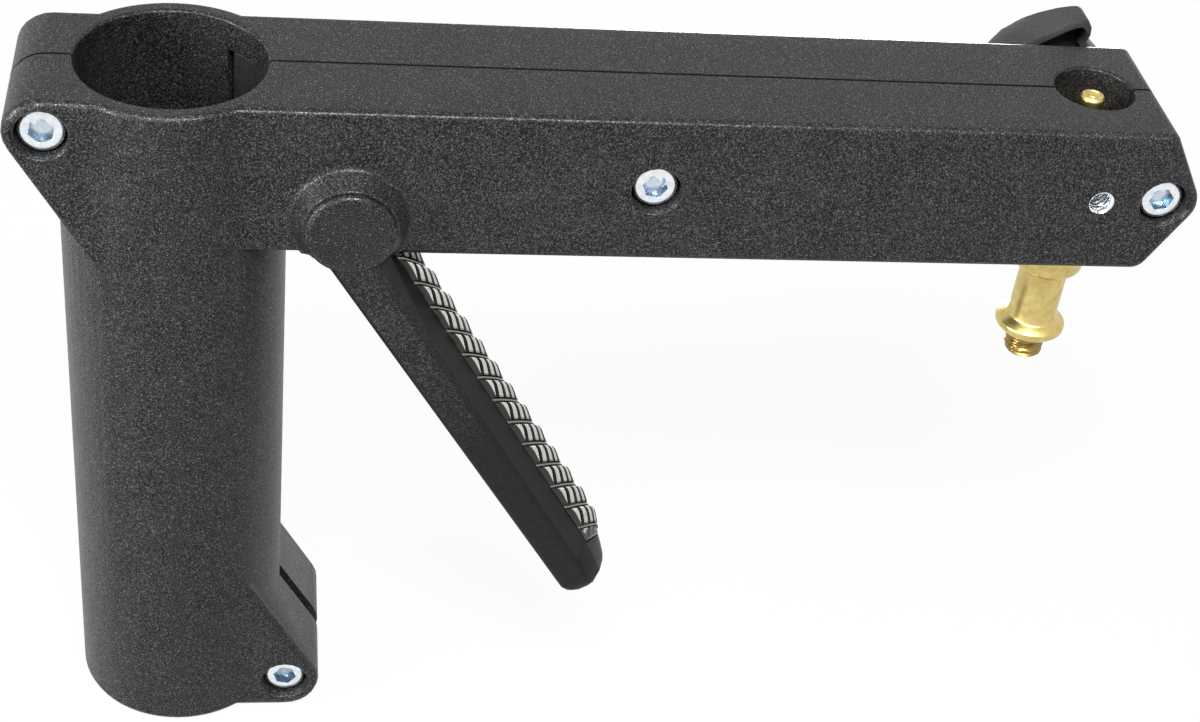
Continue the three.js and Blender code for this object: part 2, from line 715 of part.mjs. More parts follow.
// One outline of the blade, whose flank leans along the blade with the grip's ribs
function bladeRing(s, sink) {
  const { ridge, band } = flankAt(s);
  const past = Math.max(0, s - (BLADE_LENGTH - TIP_ZONE / 4)) / (TIP_ZONE / 4);
  const left = -BLADE_LEFT + TIP_LEFT_ROUND * past * past;
  const front = BLADE_FRONT_Y + TIP_FRONT_ROUND * past * past;
  const rear = BLADE_REAR_Y - TIP_FRONT_ROUND * past * past;
  const corner = edgeShares.map((share) => share * BLADE_EDGE);
  const slant = slantAt(s);
  const flank = flankShares.map((u) => {
    const { band: local } = flankAt(s + slant * u);
    return bandPoint(local, u, u > bedShares[0] && u < bedShares[1] ? -sink : 0);
  });
  const outline = [
    [left, front + corner[0]],
    [left + corner[1], front + corner[1]],
    [left + corner[0], front],
    [ridge - BLADE_EDGE / 2, front],
    [ridge + BLADE_EDGE / 2, front + corner[1]],
    ...flank,
    [flank[flank.length - 1][0] - BLADE_EDGE, rear],
    [left + corner[0], rear],
    [left + corner[1], rear - corner[1]],
    [left, rear - corner[0]],
  ];
  const leans = [0, 0, 0, 0, 0, ...flankShares, 1, 0, 0, 0];
  const points = outline.map(([w, y], i) => leverPoint(s + slant * leans[i], w, y));
  return { outline, points };
}

// Stations over the blade's last stretch, closer together where it rounds off
const tipStationShares = [0.35, 0.65, 0.83, 0.94, 1];

function bladeBody() {
  const depth = GRIP_DEPTH + GRIP_GAP;
  const stations = [0, gripEnd / 3, gripEnd * 2 / 3, gripEnd, gripEnd + GRIP_GAP].map((s) => [s, depth]);
  stations.push([gripEnd + 2 * GRIP_GAP, 0]);
  tipStationShares.forEach((share) => {
    stations.push([mix(gripEnd, BLADE_LENGTH, share), 0]);
  });
  return lofted(stations.map(([s, sink]) => bladeRing(s, sink)));
}

// Room for the arm's underside at both ends of the lever's travel
function armRelief() {
  const reach = BLADE_LENGTH;
  const drop = LEVER_ABOVE_FLOOR + BLADE_STOP_GAP;
  return [0, LEVER_TRAVEL].map((angle) => {
    const room = new THREE.BoxGeometry(2 * reach, reach, reach);
    room.translate(0, HEAD_BACK_Y + reach / 2, reach / 2 - drop);
    room.rotateY(-angle);
    return solid(room.translate(LEVER_X, 0, LEVER_Z));
  });
}

function headBody() {
  const flat = HEAD_R - HEAD_ROUND;
  const shoulder = Array.from({ length: 5 }, (_, i) => {
    const turn = Math.PI / 2 * i / 4;
    return [flat + HEAD_ROUND * Math.cos(turn), HEAD_FRONT_Y + HEAD_ROUND * (1 - Math.sin(turn))];
  });
  return revolvedY([[0, HEAD_BACK_Y], [HEAD_R, HEAD_BACK_Y], ...shoulder, [0, HEAD_FRONT_Y]], LEVER_X, LEVER_Z);
}

// Square drive between the shaft and the lever's head
function squareDrive(across, y0, y1) {
  const geometry = new THREE.BoxGeometry(across, y1 - y0, across);
  geometry.rotateY(LEVER_ANGLE);
  return solid(geometry.translate(LEVER_X, (y0 + y1) / 2, LEVER_Z));
}

function leverMesh() {
  const blade = without(bladeBody(), armRelief());
  const socket = squareDrive(SQUARE_ACROSS + 2 * SQUARE_GAP, HEAD_BACK_Y - SQUARE_LENGTH - SQUARE_GAP, 0);
  return mesh('lever', blade.add(headBody()).subtract(socket), materials.coat);
}

// One pitch of the grip along the blade: valley, bulge, valley, rib
const gripPitchShares = [
  { share: 0.03, rise: GRIP_LOW },
  { share: 0.2, rise: GRIP_BULGE },
  { share: 0.5, rise: GRIP_BULGE },
  { share: 0.77, rise: GRIP_LOW },
  { share: 0.83, rise: GRIP_RIB },
  { share: 0.95, rise: GRIP_RIB },
];

// Stations over the band's width, and the share of the rise that each one has
const gripStationShares = [[0.02, 0], [0.18, 0.9], [0.36, 1], [0.56, 1], [0.76, 1], [0.9, 0]];
const gripBackShares = [0.9, 0.46, 0.02];

function gripRing(s, rise) {
  const spots = [
    ...gripStationShares.map(([u, share]) => [u, share * rise]),
    ...gripBackShares.map((u) => [u, -GRIP_DEPTH]),
  ];
  const slant = slantAt(s);
  const outline = spots.map(([u, h]) => bandPoint(flankAt(s + slant * u).band, u, h));
  const points = outline.map(([w, y], i) => leverPoint(s + slant * spots[i][0], w, y));
  return { outline, points };
}

function gripMesh() {
  const rows = [[GRIP_START, GRIP_LOW]];
  for (let step = 0; step < GRIP_STEPS; step += 1) {
    const start = GRIP_START + step * GRIP_PITCH;
    gripPitchShares.forEach(({ share, rise }) => rows.push([start + share * GRIP_PITCH, rise]));
  }
  rows.push([gripEnd, GRIP_LOW]);
  const strip = lofted(rows.map(([s, rise]) => gripRing(s, rise)));
  return mesh('lever_grip', without(strip, armRelief()), materials.grip);
}

// Cam shaft with its eccentric between the two bearings

function camShaft() {
  const radius = SHAFT_D / 2;
  const half = ECCENTRIC_LENGTH / 2;
  const rearEnd = HALF_ARM - RING_POCKET_DEPTH + WASHER_THICK + RING_GAP + 2 * RING_THICK;
  const grooveStart = HALF_ARM - RING_POCKET_DEPTH + WASHER_THICK + RING_GAP;
  const grooveEnd = grooveStart + RING_THICK + RING_GAP;
  const front = alongY(LEVER_X, LEVER_Z, radius, HEAD_BACK_Y, -half);
  const rear = revolvedY([
    [0, half],
    [radius, half],
    [radius, grooveStart],
    [radius - RING_BITE, grooveStart],
    [radius - RING_BITE, grooveEnd],
    [radius, grooveEnd],
    [radius, rearEnd - RING_BITE / 2],
    [radius - RING_BITE / 2, rearEnd],
    [0, rearEnd],
  ], LEVER_X, LEVER_Z);
  const start = LEVER_TRAVEL / 2;
  const cam = alongY(
    LEVER_X + ECCENTRIC_OFFSET * Math.sin(start), LEVER_Z - ECCENTRIC_OFFSET * Math.cos(start),
    ECCENTRIC_D / 2, -half - ECCENTRIC_BITE, half + ECCENTRIC_BITE,
  );
  const square = squareDrive(SQUARE_ACROSS, HEAD_BACK_Y - SQUARE_LENGTH, HEAD_BACK_Y + SQUARE_LENGTH);
  return mesh('cam_shaft', joined([front, rear, cam, square]), materials.steel);
}

function bushing(name, side) {
  const inner = SHAFT_D / 2 + SHAFT_RUNNING;
  const near = side > 0 ? HALF_ARM - RING_POCKET_DEPTH : HALF_ARM - HEAD_GAP;
  const far = HALF_ARM - BUSHING_LENGTH;
  const profile = [[inner, far], [BUSHING_R, far], [BUSHING_R, near], [inner, near], [inner, far]];
  const body = revolvedY(profile.map(([radius, y]) => [radius, side * y]), LEVER_X, LEVER_Z);
  return mesh(name, body, materials.brass);
}

function shaftWasher() {
  const start = HALF_ARM - RING_POCKET_DEPTH;
  const inner = SHAFT_D / 2 + SHAFT_RUNNING * 2;
  const profile = [
    [inner, start], [RING_RADIUS, start], [RING_RADIUS, start + WASHER_THICK], [inner, start + WASHER_THICK],
    [inner, start],
  ];
  return mesh('shaft_washer', revolvedY(profile, LEVER_X, LEVER_Z, SMALL), materials.zinc);
}

// Open retaining ring in the shaft's groove
function shaftRing() {
  const inner = SHAFT_D / 2 - RING_BITE + RING_GAP;
  const outer = RING_RADIUS - RING_THICK;
  const opening = Math.PI / 6;
  const rim = arc(LEVER_X, LEVER_Z, outer, opening, 2 * Math.PI - opening, ROUND / 2);
  const bore = arc(LEVER_X, LEVER_Z, inner, 2 * Math.PI - opening, opening, ROUND / 2);
  const start = HALF_ARM - RING_POCKET_DEPTH + WASHER_THICK + RING_GAP * 1.5;
  return mesh('shaft_ring', drawnAcross([...rim, ...bore], start, start + RING_THICK), materials.steel);
}

// Brake shoe: a curved plate with a fork that straddles the eccentric

function brakeShoe() {
  const inner = BORE_R + SHOE_RETRACT;
  const outer = inner + SHOE_THICK;
  const half = SHOE_HALF_ANGLE;
  const outline = [...arc(0, 0, outer, -half, half, 20), ...arc(0, 0, inner, half, -half, 20)];
  const shape = new THREE.Shape(outline.map(([x, y]) => new THREE.Vector2(x, y)));
  const height = SHOE_HEIGHT;
  const plate = solid(new THREE.ExtrudeGeometry(shape, {
    depth: height - 2 * FORK_EDGE,
    bevelEnabled: true,
    bevelThickness: FORK_EDGE,
    bevelSize: FORK_EDGE,
    bevelOffset: -FORK_EDGE,
    bevelSegments: 2,
    steps: 1,
  }).translate(0, 0, FLOOR_Z + SHOE_GAP + FORK_EDGE));
  const camX = LEVER_X + ECCENTRIC_OFFSET * Math.sin(LEVER_TRAVEL / 2);
  const gap = ECCENTRIC_D / 2 + FORK_PLAY;
  const side = FORK_WIDTH / 2;
  const low = FLOOR_Z + SHOE_GAP;
  const stem = box([outer - SHOE_THICK / 2, -side, low], [camX + gap + FORK_WALL, side, low + FORK_HEIGHT]);
  const slotTop = LEVER_Z + ECCENTRIC_D / 2 + FORK_PLAY;
  const slot = box([camX - gap, -ARM_WIDTH, low - PAST], [camX + gap, ARM_WIDTH, slotTop]);
  return mesh('brake_shoe', plate.add(stem).subtract(slot), materials.pad);
}

// Spigot

function spigotMesh() {
  const body = SPIGOT_R;
  const neck = NECK_R;
  const stud = SPIGOT_STUD_D / 2;
  const thread = SPIGOT_THREAD_D / 2;
  const upperNeckTop = ARM_MIDDLE + UPPER_NECK / 2;
  const upperNeckBottom = upperNeckTop - UPPER_NECK;
  const collarTop = upperNeckTop + STUD_COLLAR;
  const top = collarTop + STUD_LENGTH;
  const bodyBottom = ARM_BOTTOM - BODY_BELOW_ARM;
  const lowerNeckBottom = bodyBottom - LOWER_NECK;
  const rimTop = lowerNeckBottom - COLLAR_SLOPE;
  const rimBottom = rimTop - COLLAR_RIM;
  const collarBottom = rimBottom - COLLAR_UNDERCUT;
  const threadEnd = collarBottom - THREAD_LENGTH;
  const edge = SPIGOT_CHAMFER;
  return mesh('spigot', revolvedZ([
    [0, threadEnd],
    [thread - edge, threadEnd],
    [thread, threadEnd + edge],
    [thread, collarBottom],
    [body - COLLAR_UNDERCUT, collarBottom],
    [body, rimBottom],
    [body, rimTop],
    [neck, lowerNeckBottom],
    [neck, bodyBottom],
    [body - BODY_TAPER, bodyBottom],
    [body, bodyBottom + BODY_TAPER],
    [body, upperNeckBottom],
    [neck, upperNeckBottom],
    [neck, upperNeckTop],
    [body, upperNeckTop],
    [body, collarTop - edge],
    [body - edge, collarTop],
    [stud, collarTop],
    [stud, top - STUD_CHAMFER],
    [stud - STUD_CHAMFER / 2, top],
    [0, top],
  ], SPIGOT_X), materials.brass);
}

// Thread inserts beside the spigot

function ringAlongY(name, outer, inner, y0, y1, material) {
  const profile = [[inner, y0], [outer, y0], [outer, y1], [inner, y1], [inner, y0]];
  return mesh(name, revolvedY(profile, SPIGOT_X, ARM_MIDDLE, SMALL), material);
}

function frontInsert() {
  const start = FRONT_Y + INSERT_FLUSH;
  return ringAlongY(
    'front_insert', INSERT_D / 2, INSERT_HOLE_D / 2, start, start + INSERT_LENGTH, materials.zinc,
  );
}

function wingBushing() {
  return ringAlongY(
    'wing_bushing', WING_BUSHING_D / 2, SCREW_D / 2 + STUD_RUNNING,
    WING_BUSHING_START, HALF_ARM - INSERT_FLUSH, materials.brass,
  );
}

// Wing knob with its stud and pad

function padMesh() {
  const nose = PAD_D / 2;
  return mesh('clamp_pad', revolvedY([
    [0, PAD_FRONT],
    [nose - SPIGOT_CHAMFER, PAD_FRONT],
    [nose, PAD_FRONT + SPIGOT_CHAMFER],
    [nose, PAD_END],
    [0, PAD_END],
  ], SPIGOT_X, ARM_MIDDLE, SMALL), materials.brass);
}

function wingStud() {
  const radius = SCREW_D / 2;
  return mesh('wing_stud', revolvedY([
    [0, STUD_START],
    [radius - SCREW_HEAD_CHAMFER, STUD_START],
    [radius, STUD_START + SCREW_HEAD_CHAMFER],
    [radius, STUD_END - SCREW_HEAD_CHAMFER],
    [radius - SCREW_HEAD_CHAMFER, STUD_END],
    [0, STUD_END],
  ], SPIGOT_X, ARM_MIDDLE, SMALL), materials.zinc);
}

// Two swept tips round the knob: turn past the tip, and the share of the tip's radius there
const wingSweepShares = [
  [-0.16, 0.755], [-0.155, 0.84], [-0.11, 0.92], [-0.04, 0.975], [0.02, 0.99], [0.08, 0.969],
  [0.18, 0.92], [0.42, 0.826], [0.67, 0.781], [0.96, 0.768], [1.4, 0.757], [1.9, 0.742],
  [2.4, 0.725], [2.75, 0.71],
];

function wingOutline(inset) {
  const lobe = wingSweepShares.map(([turn, share]) => [WING_TIP_ANGLE + turn, share * WING_TIP_R - inset]);
  const points = [0, Math.PI].flatMap((half) => lobe.map(([angle, radius]) => [angle + half, radius]));
  return points.map(([angle, radius]) => [
    SPIGOT_X + radius * Math.cos(angle), ARM_MIDDLE + radius * Math.sin(angle),
  ]);
}

function wingKnob() {
  const front = HALF_ARM + WING_STANDOFF;
  const back = front + WING_THICK;
  const disc = drawnAcross(wingOutline(0), front, back, WING_EDGE);
  const lean = WING_BODY_R + WING_EDGE;
  const slope = revolvedY([
    [0, front - PAST],
    [WING_TIP_R + PAST, front - PAST],
    [WING_TIP_R + PAST, front + WING_TIP_THICK - PAST / 2],
    [lean, back - WING_EDGE],
    [WING_BODY_R - WING_EDGE, back],
    [0, back],
  ], SPIGOT_X, ARM_MIDDLE);
  const core = drawnAcross(wingOutline(WING_RIM), front - PAST, front + WING_CORE_DEPTH);
  const hub = alongY(SPIGOT_X, ARM_MIDDLE, WING_HUB_R, front - PAST, back);
  const collar = alongY(SPIGOT_X, ARM_MIDDLE, WING_COLLAR_R, HALF_ARM + WING_COLLAR_GAP, front + WING_THICK / 2);
  const shell = disc.intersect(slope).subtract(core.subtract(hub)).add(collar);
  const socket = alongY(
    SPIGOT_X, ARM_MIDDLE, SCREW_D / 2 + SQUARE_GAP, HALF_ARM - PAST, STUD_END + SQUARE_GAP, SMALL,
  );
  return mesh('wing_knob', shell.subtract(socket), materials.plastic);
}

// Assembly

const assembly = new THREE.Group();
assembly.name = 'column_side_arm';
assembly.add(...castings());
assembly.add(...screwSites.map(capScrew));
assembly.add(...screwSites.map(hexNut));
assembly.add(leverMesh(), gripMesh());
assembly.add(camShaft(), bushing('front_bushing', -1), bushing('rear_bushing', 1));
assembly.add(shaftWasher(), shaftRing(), brakeShoe());
assembly.add(spigotMesh(), frontInsert(), wingBushing());
assembly.add(padMesh(), wingStud(), wingKnob());

export default assembly;
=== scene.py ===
"""Column side arm: a clamp sleeve and long arm in powder-coated castings, with a cam lever,
a brass spigot and a wing knob. Metres, in the CAD frame: the arm runs along +X, the halves
part on Y = 0 and the lever is on the -Y side."""
import math

import bmesh
import bpy
from mathutils import Matrix, Vector


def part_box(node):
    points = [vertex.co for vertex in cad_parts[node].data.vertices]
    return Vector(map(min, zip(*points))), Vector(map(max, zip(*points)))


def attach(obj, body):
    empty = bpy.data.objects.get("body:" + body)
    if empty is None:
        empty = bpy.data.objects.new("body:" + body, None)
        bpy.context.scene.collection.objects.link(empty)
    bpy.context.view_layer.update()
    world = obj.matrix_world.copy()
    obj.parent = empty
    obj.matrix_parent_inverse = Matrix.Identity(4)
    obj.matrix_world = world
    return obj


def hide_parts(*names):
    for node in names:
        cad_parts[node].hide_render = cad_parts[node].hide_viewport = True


MM = 0.001

# Corners closer than this are one: in the grip's bent cells, and in a copy of a CAD node,
# whose faces are one face where they bend by fewer degrees than this
MERGE_WITHIN = 0.004 * MM
CAD_MERGE_WITHIN = 0.001 * MM
FLAT_WITHIN = 0.5

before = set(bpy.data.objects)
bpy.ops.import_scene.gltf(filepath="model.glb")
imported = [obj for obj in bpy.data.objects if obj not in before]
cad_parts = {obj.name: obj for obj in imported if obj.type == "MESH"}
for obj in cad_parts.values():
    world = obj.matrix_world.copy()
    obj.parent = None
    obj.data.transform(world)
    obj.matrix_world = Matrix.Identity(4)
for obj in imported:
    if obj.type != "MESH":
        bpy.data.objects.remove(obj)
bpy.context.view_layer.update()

# Camera, solved on the photograph
PHOTO_WIDTH = 1200
LENS_PIXELS = 2139.27
SENSOR_WIDTH = 36.0
CAMERA_PLACE = Vector((20.136, -403.913, 412.970)) * MM
CAMERA_PITCH = 0.6531864
CAMERA_YAW = 0.1968107
CAMERA_ROLL = 0.1328956

# Lever axis, its blade and the flank that carries the grip, in millimetres
LEVER_ANGLE = math.radians(58.07)
LEVER_TRAVEL = math.radians(20)
LEVER_X = 38.2
LEVER_Z = 151.5
BLADE_LENGTH = 121.2
BLADE_FRONT = -26.7
TIP_ZONE = 16.0
TIP_NARROW = 2.3
BAND_OUT = (3.6, 2.2)
BAND_BACK = (7.3, 4.6)
CREST = (5.6, -15.0)
FLANK_END = (4.2, -9.0)
ARM_CLEARANCE = 9.7

# Grip pockets along the flank
GRIP_CELLS = 14
GRIP_FULL_CELLS = 13.0
GRIP_TAIL_SHARE = 0.6
GRIP_PITCH = 7.62
GRIP_START = 7.2
GRIP_SLANT = 13.7
TIP_SLANT = 3.5
GRIP_DEPTH = 0.9

# Clamp screws: where they sit on the arm's face, and their sizes
SCREW_SITES = {
    "upper_ear": (-25.8, 170.1), "arm": (104.2, 160.2),
    "tip": (220.9, 160.2), "lower_ear": (26.4, 8.5),
}
SCREW_TOP = -18.1
SCREW_HEAD_R = 5.0
SCREW_HEAD_HEIGHT = 6.0
SCREW_SHANK_R = 3.0
SCREW_END = 17.9
SOCKET_ACROSS = 5.0
SOCKET_DEPTH = 3.0

# Spigot axis, and the thread below its collar
SPIGOT_X = 206.0
THREAD_PITCH = 1.6
THREAD_DEPTH = 0.62

# Thread insert in the arm's face: the middle of its node in X and Z
INSERT_SITE = [
    (low + high) / 2 / MM for low, high in zip(*[(c[0], c[2]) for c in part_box("front_insert")])
]

# Grip cell in shares of the band's width: shoulder, cross grooves and their slant
PAD_START = 0.085
PAD_END = 0.86
CELL_END = 0.9
GROOVES = 4
FIRST_GROOVE = 0.165
GROOVE_STEP = 0.195
GROOVE_DRIFT = 0.17
GROOVE_HALF = 0.045
GROOVE_FLOOR_HALF = 0.035
GROOVE_DEPTH = 0.9
TAIL_SINK = 0.92

# Broken edges: on the castings, on turned pieces and on thin ones
CAST_EDGE = 0.36 * MM
TURNED_EDGE = 0.15 * MM
THIN_EDGE = 0.1 * MM

# Round of the lever's ridge: its width, the least length of an edge on it, and the fold there
RIDGE_ROUND = 3.2 * MM
RIDGE_LENGTH = 25 * MM
RIDGE_FOLD = (10, 75)

# Sunken web in the knob's rear face: rim, slope and depth
WEB_RIM = 1.8
WEB_SLOPE = 0.35
WEB_DEPTH = 1.1

# Grain of the powder coat: the grains' size and the depth of their relief
COAT_GRAIN = 0.34 * MM
COAT_RELIEF = 0.05 * MM

# Studio: world, floor, and each lamp's name, place, aim, width, height and power
WORLD_LEVEL = 0.12
FLOOR_LEVEL = -0.0005
FLOOR_REACH = 3.0
FLOOR_GLOW = 0.94
MIDDLE = (0.09, 0.0, 0.1)
LAMPS = (
    ("key_left", (-0.8, -0.38, 0.45), MIDDLE, 0.45, 0.5, 15.0),
    ("front_top", (0.06, -0.57, 0.95), MIDDLE, 0.5, 0.2, 18.5),
    ("right_back", (0.36, 0.75, 0.09), (0.07, 0.0, 0.09), 0.4, 0.16, 5.5),
)


def srgb(red, green, blue):
    """Scene colour of an 8-bit colour."""
    def channel(value):
        value /= 255
        return value / 12.92 if value <= 0.04045 else ((value + 0.055) / 1.055) ** 2.4
    return (channel(red), channel(green), channel(blue), 1.0)


# Node trees

class Wire:
    """A socket that can stand in sums, so that shader maths reads as Python."""

    def __init__(self, sheet, socket):
        self.sheet = sheet
        self.socket = socket

    def _with(self, operation, left, right):
        values = {0: left, 1: right}
        return self.sheet.node("ShaderNodeMath", {"operation": operation}, values)

    def __add__(self, other):
        return self._with("ADD", self, other)

    def __radd__(self, other):
        return self._with("ADD", other, self)

    def __sub__(self, other):
        return self._with("SUBTRACT", self, other)

    def __rsub__(self, other):
        return self._with("SUBTRACT", other, self)

    def __mul__(self, other):
        return self._with("MULTIPLY", self, other)

    def __rmul__(self, other):
        return self._with("MULTIPLY", other, self)

    def __truediv__(self, other):
        return self._with("DIVIDE", self, other)

    def apply(self, operation, other=0.0):
        return self._with(operation, self, other)

    def clamped(self):
        return self.apply("MAXIMUM", 0.0).apply("MINIMUM", 1.0)


class Sheet:
    """A node tree and the one way that nodes are added to it."""

    def __init__(self, tree):
        self.tree = tree

    def node(self, kind, settings=None, values=None, output=0):
        node = self.tree.nodes.new(kind)
        for name, value in (settings or {}).items():
            if name == "stops":
                self._set_stops(node.color_ramp, value)
            else:
                setattr(node, name, value)
        for name, value in (values or {}).items():
            if isinstance(value, Wire):
                self.tree.links.new(value.socket, node.inputs[name])
            else:
                node.inputs[name].default_value = value
        return Wire(self, node.outputs[output]) if node.outputs else node

    @staticmethod
    def _set_stops(ramp, stops):
        while len(ramp.elements) < len(stops):
            ramp.elements.new(1.0)
        for element, (place, colour) in zip(ramp.elements, stops):
            element.position = place
            element.color = colour

    def ramp(self, factor, stops):
        """Grey ramp of (place, value) stops, read as a number."""
        node = self.tree.nodes.new("ShaderNodeValToRGB")
        greys = [(place, (value, value, value, 1)) for place, value in stops]
        self._set_stops(node.color_ramp, greys)
        self.tree.links.new(factor.socket, node.inputs["Fac"])
        return Wire(self, node.outputs["Color"])

    def mix(self, factor, first, second):
        settings = {"data_type": "RGBA", "clamp_factor": True}
        return self.node("ShaderNodeMix", settings, {0: factor, 6: first, 7: second}, output=2)

    def noise(self, place, scale, detail=2.0, roughness=0.5):
        values = {"Vector": place, "Scale": scale, "Detail": detail, "Roughness": roughness}
        return self.node("ShaderNodeTexNoise", None, values)

    def cells(self, place, scale):
        """Distance to the nearest of scattered points."""
        return self.node("ShaderNodeTexVoronoi", None, {"Vector": place, "Scale": scale})

    def stretched(self, place, scale):
        return self.node("ShaderNodeMapping", None, {"Vector": place, "Scale": scale})

    def axis(self, place, index):
        return self.node("ShaderNodeSeparateXYZ", None, {0: place}, output=index)


class Finish(Sheet):
    """A procedural material read on object coordinates."""

    def __init__(self, name):
        self.material = bpy.data.materials.new(name)
        self.material.use_nodes = True
        super().__init__(self.material.node_tree)
        self.tree.nodes.clear()
        self.place = self.node("ShaderNodeTexCoord", output=3)

    def bump(self, height, strength, distance):
        values = {"Height": height, "Strength": strength, "Distance": distance}
        return self.node("ShaderNodeBump", None, values)

    def close(self, **values):
        """Ends the tree in a principled shader with these sockets set."""
        named = {name.replace("_", " "): value for name, value in values.items()}
        shader = self.node("ShaderNodeBsdfPrincipled", None, named)
        self.node("ShaderNodeOutputMaterial", None, {"Surface": shader})
        return self.material


# Finishes

def powder_coat(name, dark, light, gloss, smooth_sides=False):
    """Textured powder coat: dense grains that catch the light, with pale specks among them.

    On the lever the coat is textured only on its front faces, near the head. On the castings the
    joint between the halves is painted dark, as painted shade in the gap between them."""
    finish = Finish(name)
    size = 1 / COAT_GRAIN
    grains = finish.noise(finish.place, size, detail=2.0, roughness=0.5)
    dots = finish.cells(finish.place, size * 0.6)
    pick = finish.noise(finish.place, size * 0.4, detail=0.0)
    cloud = finish.noise(finish.place, size / 34, detail=2.0)
    tops = finish.ramp(grains, [(0.48, 0.0), (0.64, 1.0)])
    picked = finish.ramp(pick, [(0.52, 0.0), (0.6, 1.0)])
    specks = finish.ramp(dots, [(0.14, 1.0), (0.36, 0.0)]) * picked
    blotch = finish.ramp(cloud, [(0.35, 0.0), (0.7, 1.0)])
    share = tops * 0.46 + specks * 0.7 + blotch * 0.03
    height = grains + dots * 0.3
    rough = 0.38 + blotch * 0.05 - tops * 0.06
    flakes = tops * 0.64
    if smooth_sides:
        turned = finish.axis(finish.node("ShaderNodeNewGeometry", output=1), 1) * -1.0
        along = finish.axis(finish.place, 0) - LEVER_X * MM
        up = finish.axis(finish.place, 2) - LEVER_Z * MM
        reach = (along * along + up * up) * 1e2
        near_head = finish.ramp(reach, [(0.07, 1.0), (0.45, 0.12)])
        facing = finish.ramp(turned, [(0.93, 0.0), (0.99, 1.0)]) * near_head
        share = share * facing
        height = height * facing
        flakes = flakes * facing
        rough = rough + (1.0 - facing) * 0.1
    else:
        # Painted shade in the joint between the halves, around Y = 0: dark, without grains or
        # flakes, and rough
        across = finish.axis(finish.place, 1)
        clear = finish.ramp(across * across * 1e6, [(0.1, 0.0), (0.24, 1.0)])
        share = share * clear
        flakes = flakes * clear
        rough = rough + (1.0 - clear) * 0.5
    colour = finish.mix(share, dark, light)
    normal = finish.bump(height, 1.0, COAT_RELIEF)
    return finish.close(
        Base_Color=colour, Roughness=rough, Metallic=flakes, Normal=normal,
        Specular_IOR_Level=gloss,
    )


def zinc_plate(name):
    """Bright zinc with a cold tint, faint mottling and pinprick pits, and painted shade: the faces
    marked recess in a screw's socket are painted a darker blue-grey.
    """
    finish = Finish(name)
    mottle = finish.noise(finish.place, 900.0, detail=3.0, roughness=0.6)
    grain = finish.noise(finish.place, 5200.0, detail=2.0)
    shade = finish.ramp(mottle, [(0.3, 0.0), (0.72, 1.0)])
    # Painted shade in the screw's socket: a darker blue-grey where the mesh marks the faces
    painted_shade = finish.node("ShaderNodeAttribute", {"attribute_name": "recess"}, output=2)
    plate = finish.mix(shade, srgb(214, 221, 228), srgb(248, 250, 252))
    colour = finish.mix(painted_shade, plate, srgb(150, 170, 188))
    normal = finish.bump(mottle * 0.7 + grain * 0.3, 0.3, 0.05 * MM)
    rough = 0.16 + shade * 0.14
    return finish.close(Base_Color=colour, Metallic=1.0, Roughness=rough, Normal=normal)


def turned_metal(name, dark, light, axis, polish=0.2):
    """Metal turned on a lathe: fine tool rings round one axis, and slight tarnish."""
    finish = Finish(name)
    along = finish.axis(finish.place, axis)
    tarnish = finish.noise(finish.place, 260.0, detail=4.0, roughness=0.6)
    ring_place = finish.node("ShaderNodeCombineXYZ", None, {0: along * 9000.0, 1: tarnish * 0.6})
    rings = finish.noise(ring_place, 1.0, detail=2.0, roughness=0.7)
    scale = 0.3 + finish.ramp(tarnish, [(0.3, 0.0), (0.75, 1.0)]) * 0.6
    colour = finish.mix(scale, dark, light)
    if axis == 2:
        thread = finish.ramp((along - 0.1035) * 100.0, [(0.58, 1.0), (0.66, 0.0)])
        colour = finish.mix(thread * 0.7, colour, srgb(118, 90, 42))
    normal = finish.bump(rings, 0.14, 0.03 * MM)
    rough = polish + scale * 0.08 + rings * 0.08
    return finish.close(Base_Color=colour, Metallic=1.0, Roughness=rough, Normal=normal)


def moulded_rubber(name):
    """Dark rubber grip with a painted highlight: pale pads and grey ribs, where the mesh marks
    them, stand in for the light's sheen on them.
    """
    finish = Finish(name)
    fine = finish.noise(finish.place, 4200.0, detail=2.0)
    bloom = finish.noise(finish.place, 300.0, detail=3.0)
    marked = finish.node("ShaderNodeAttribute", {"attribute_name": "pad"}, output=2)
    # Painted highlight: the marked pads and ribs take a pale colour, varied a little at random
    painted_highlight = marked * (0.86 + finish.ramp(bloom, [(0.35, 0.0), (0.7, 1.0)]) * 0.14)
    colour = finish.mix(painted_highlight, srgb(17, 17, 16), srgb(176, 174, 167))
    normal = finish.bump(fine, 0.15, 0.04 * MM)
    rough = 0.34 + bloom * 0.12
    return finish.close(Base_Color=colour, Roughness=rough, Normal=normal)


def moulded_plastic(name):
    """Glass-filled plastic of the wing knob: matt, with a fine spark texture."""
    finish = Finish(name)
    spark = finish.noise(finish.place, 2600.0, detail=3.0, roughness=0.6)
    flow = finish.noise(finish.stretched(finish.place, (1.0, 0.3, 1.0)), 130.0, detail=3.0)
    tops = finish.ramp(spark, [(0.5, 0.0), (0.7, 1.0)])
    colour = finish.mix(flow * 0.3 + tops * 0.4, srgb(24, 24, 24), srgb(78, 77, 76))
    normal = finish.bump(spark, 0.5, 0.12 * MM)
    rough = 0.5 + flow * 0.12
    return finish.close(Base_Color=colour, Roughness=rough, Normal=normal, Specular_IOR_Level=0.34)


def brake_lining(name):
    """Sintered friction pad: grey-brown crumbs in a dark binder."""
    finish = Finish(name)
    crumbs = finish.cells(finish.place, 1500.0)
    cloud = finish.noise(finish.place, 400.0, detail=3.0)
    colour = finish.mix(crumbs * 0.6 + cloud * 0.3, srgb(14, 14, 13), srgb(34, 33, 31))
    normal = finish.bump(crumbs, 0.4, 0.1 * MM)
    rough = 0.4 + cloud * 0.2
    return finish.close(Base_Color=colour, Roughness=rough, Normal=normal)


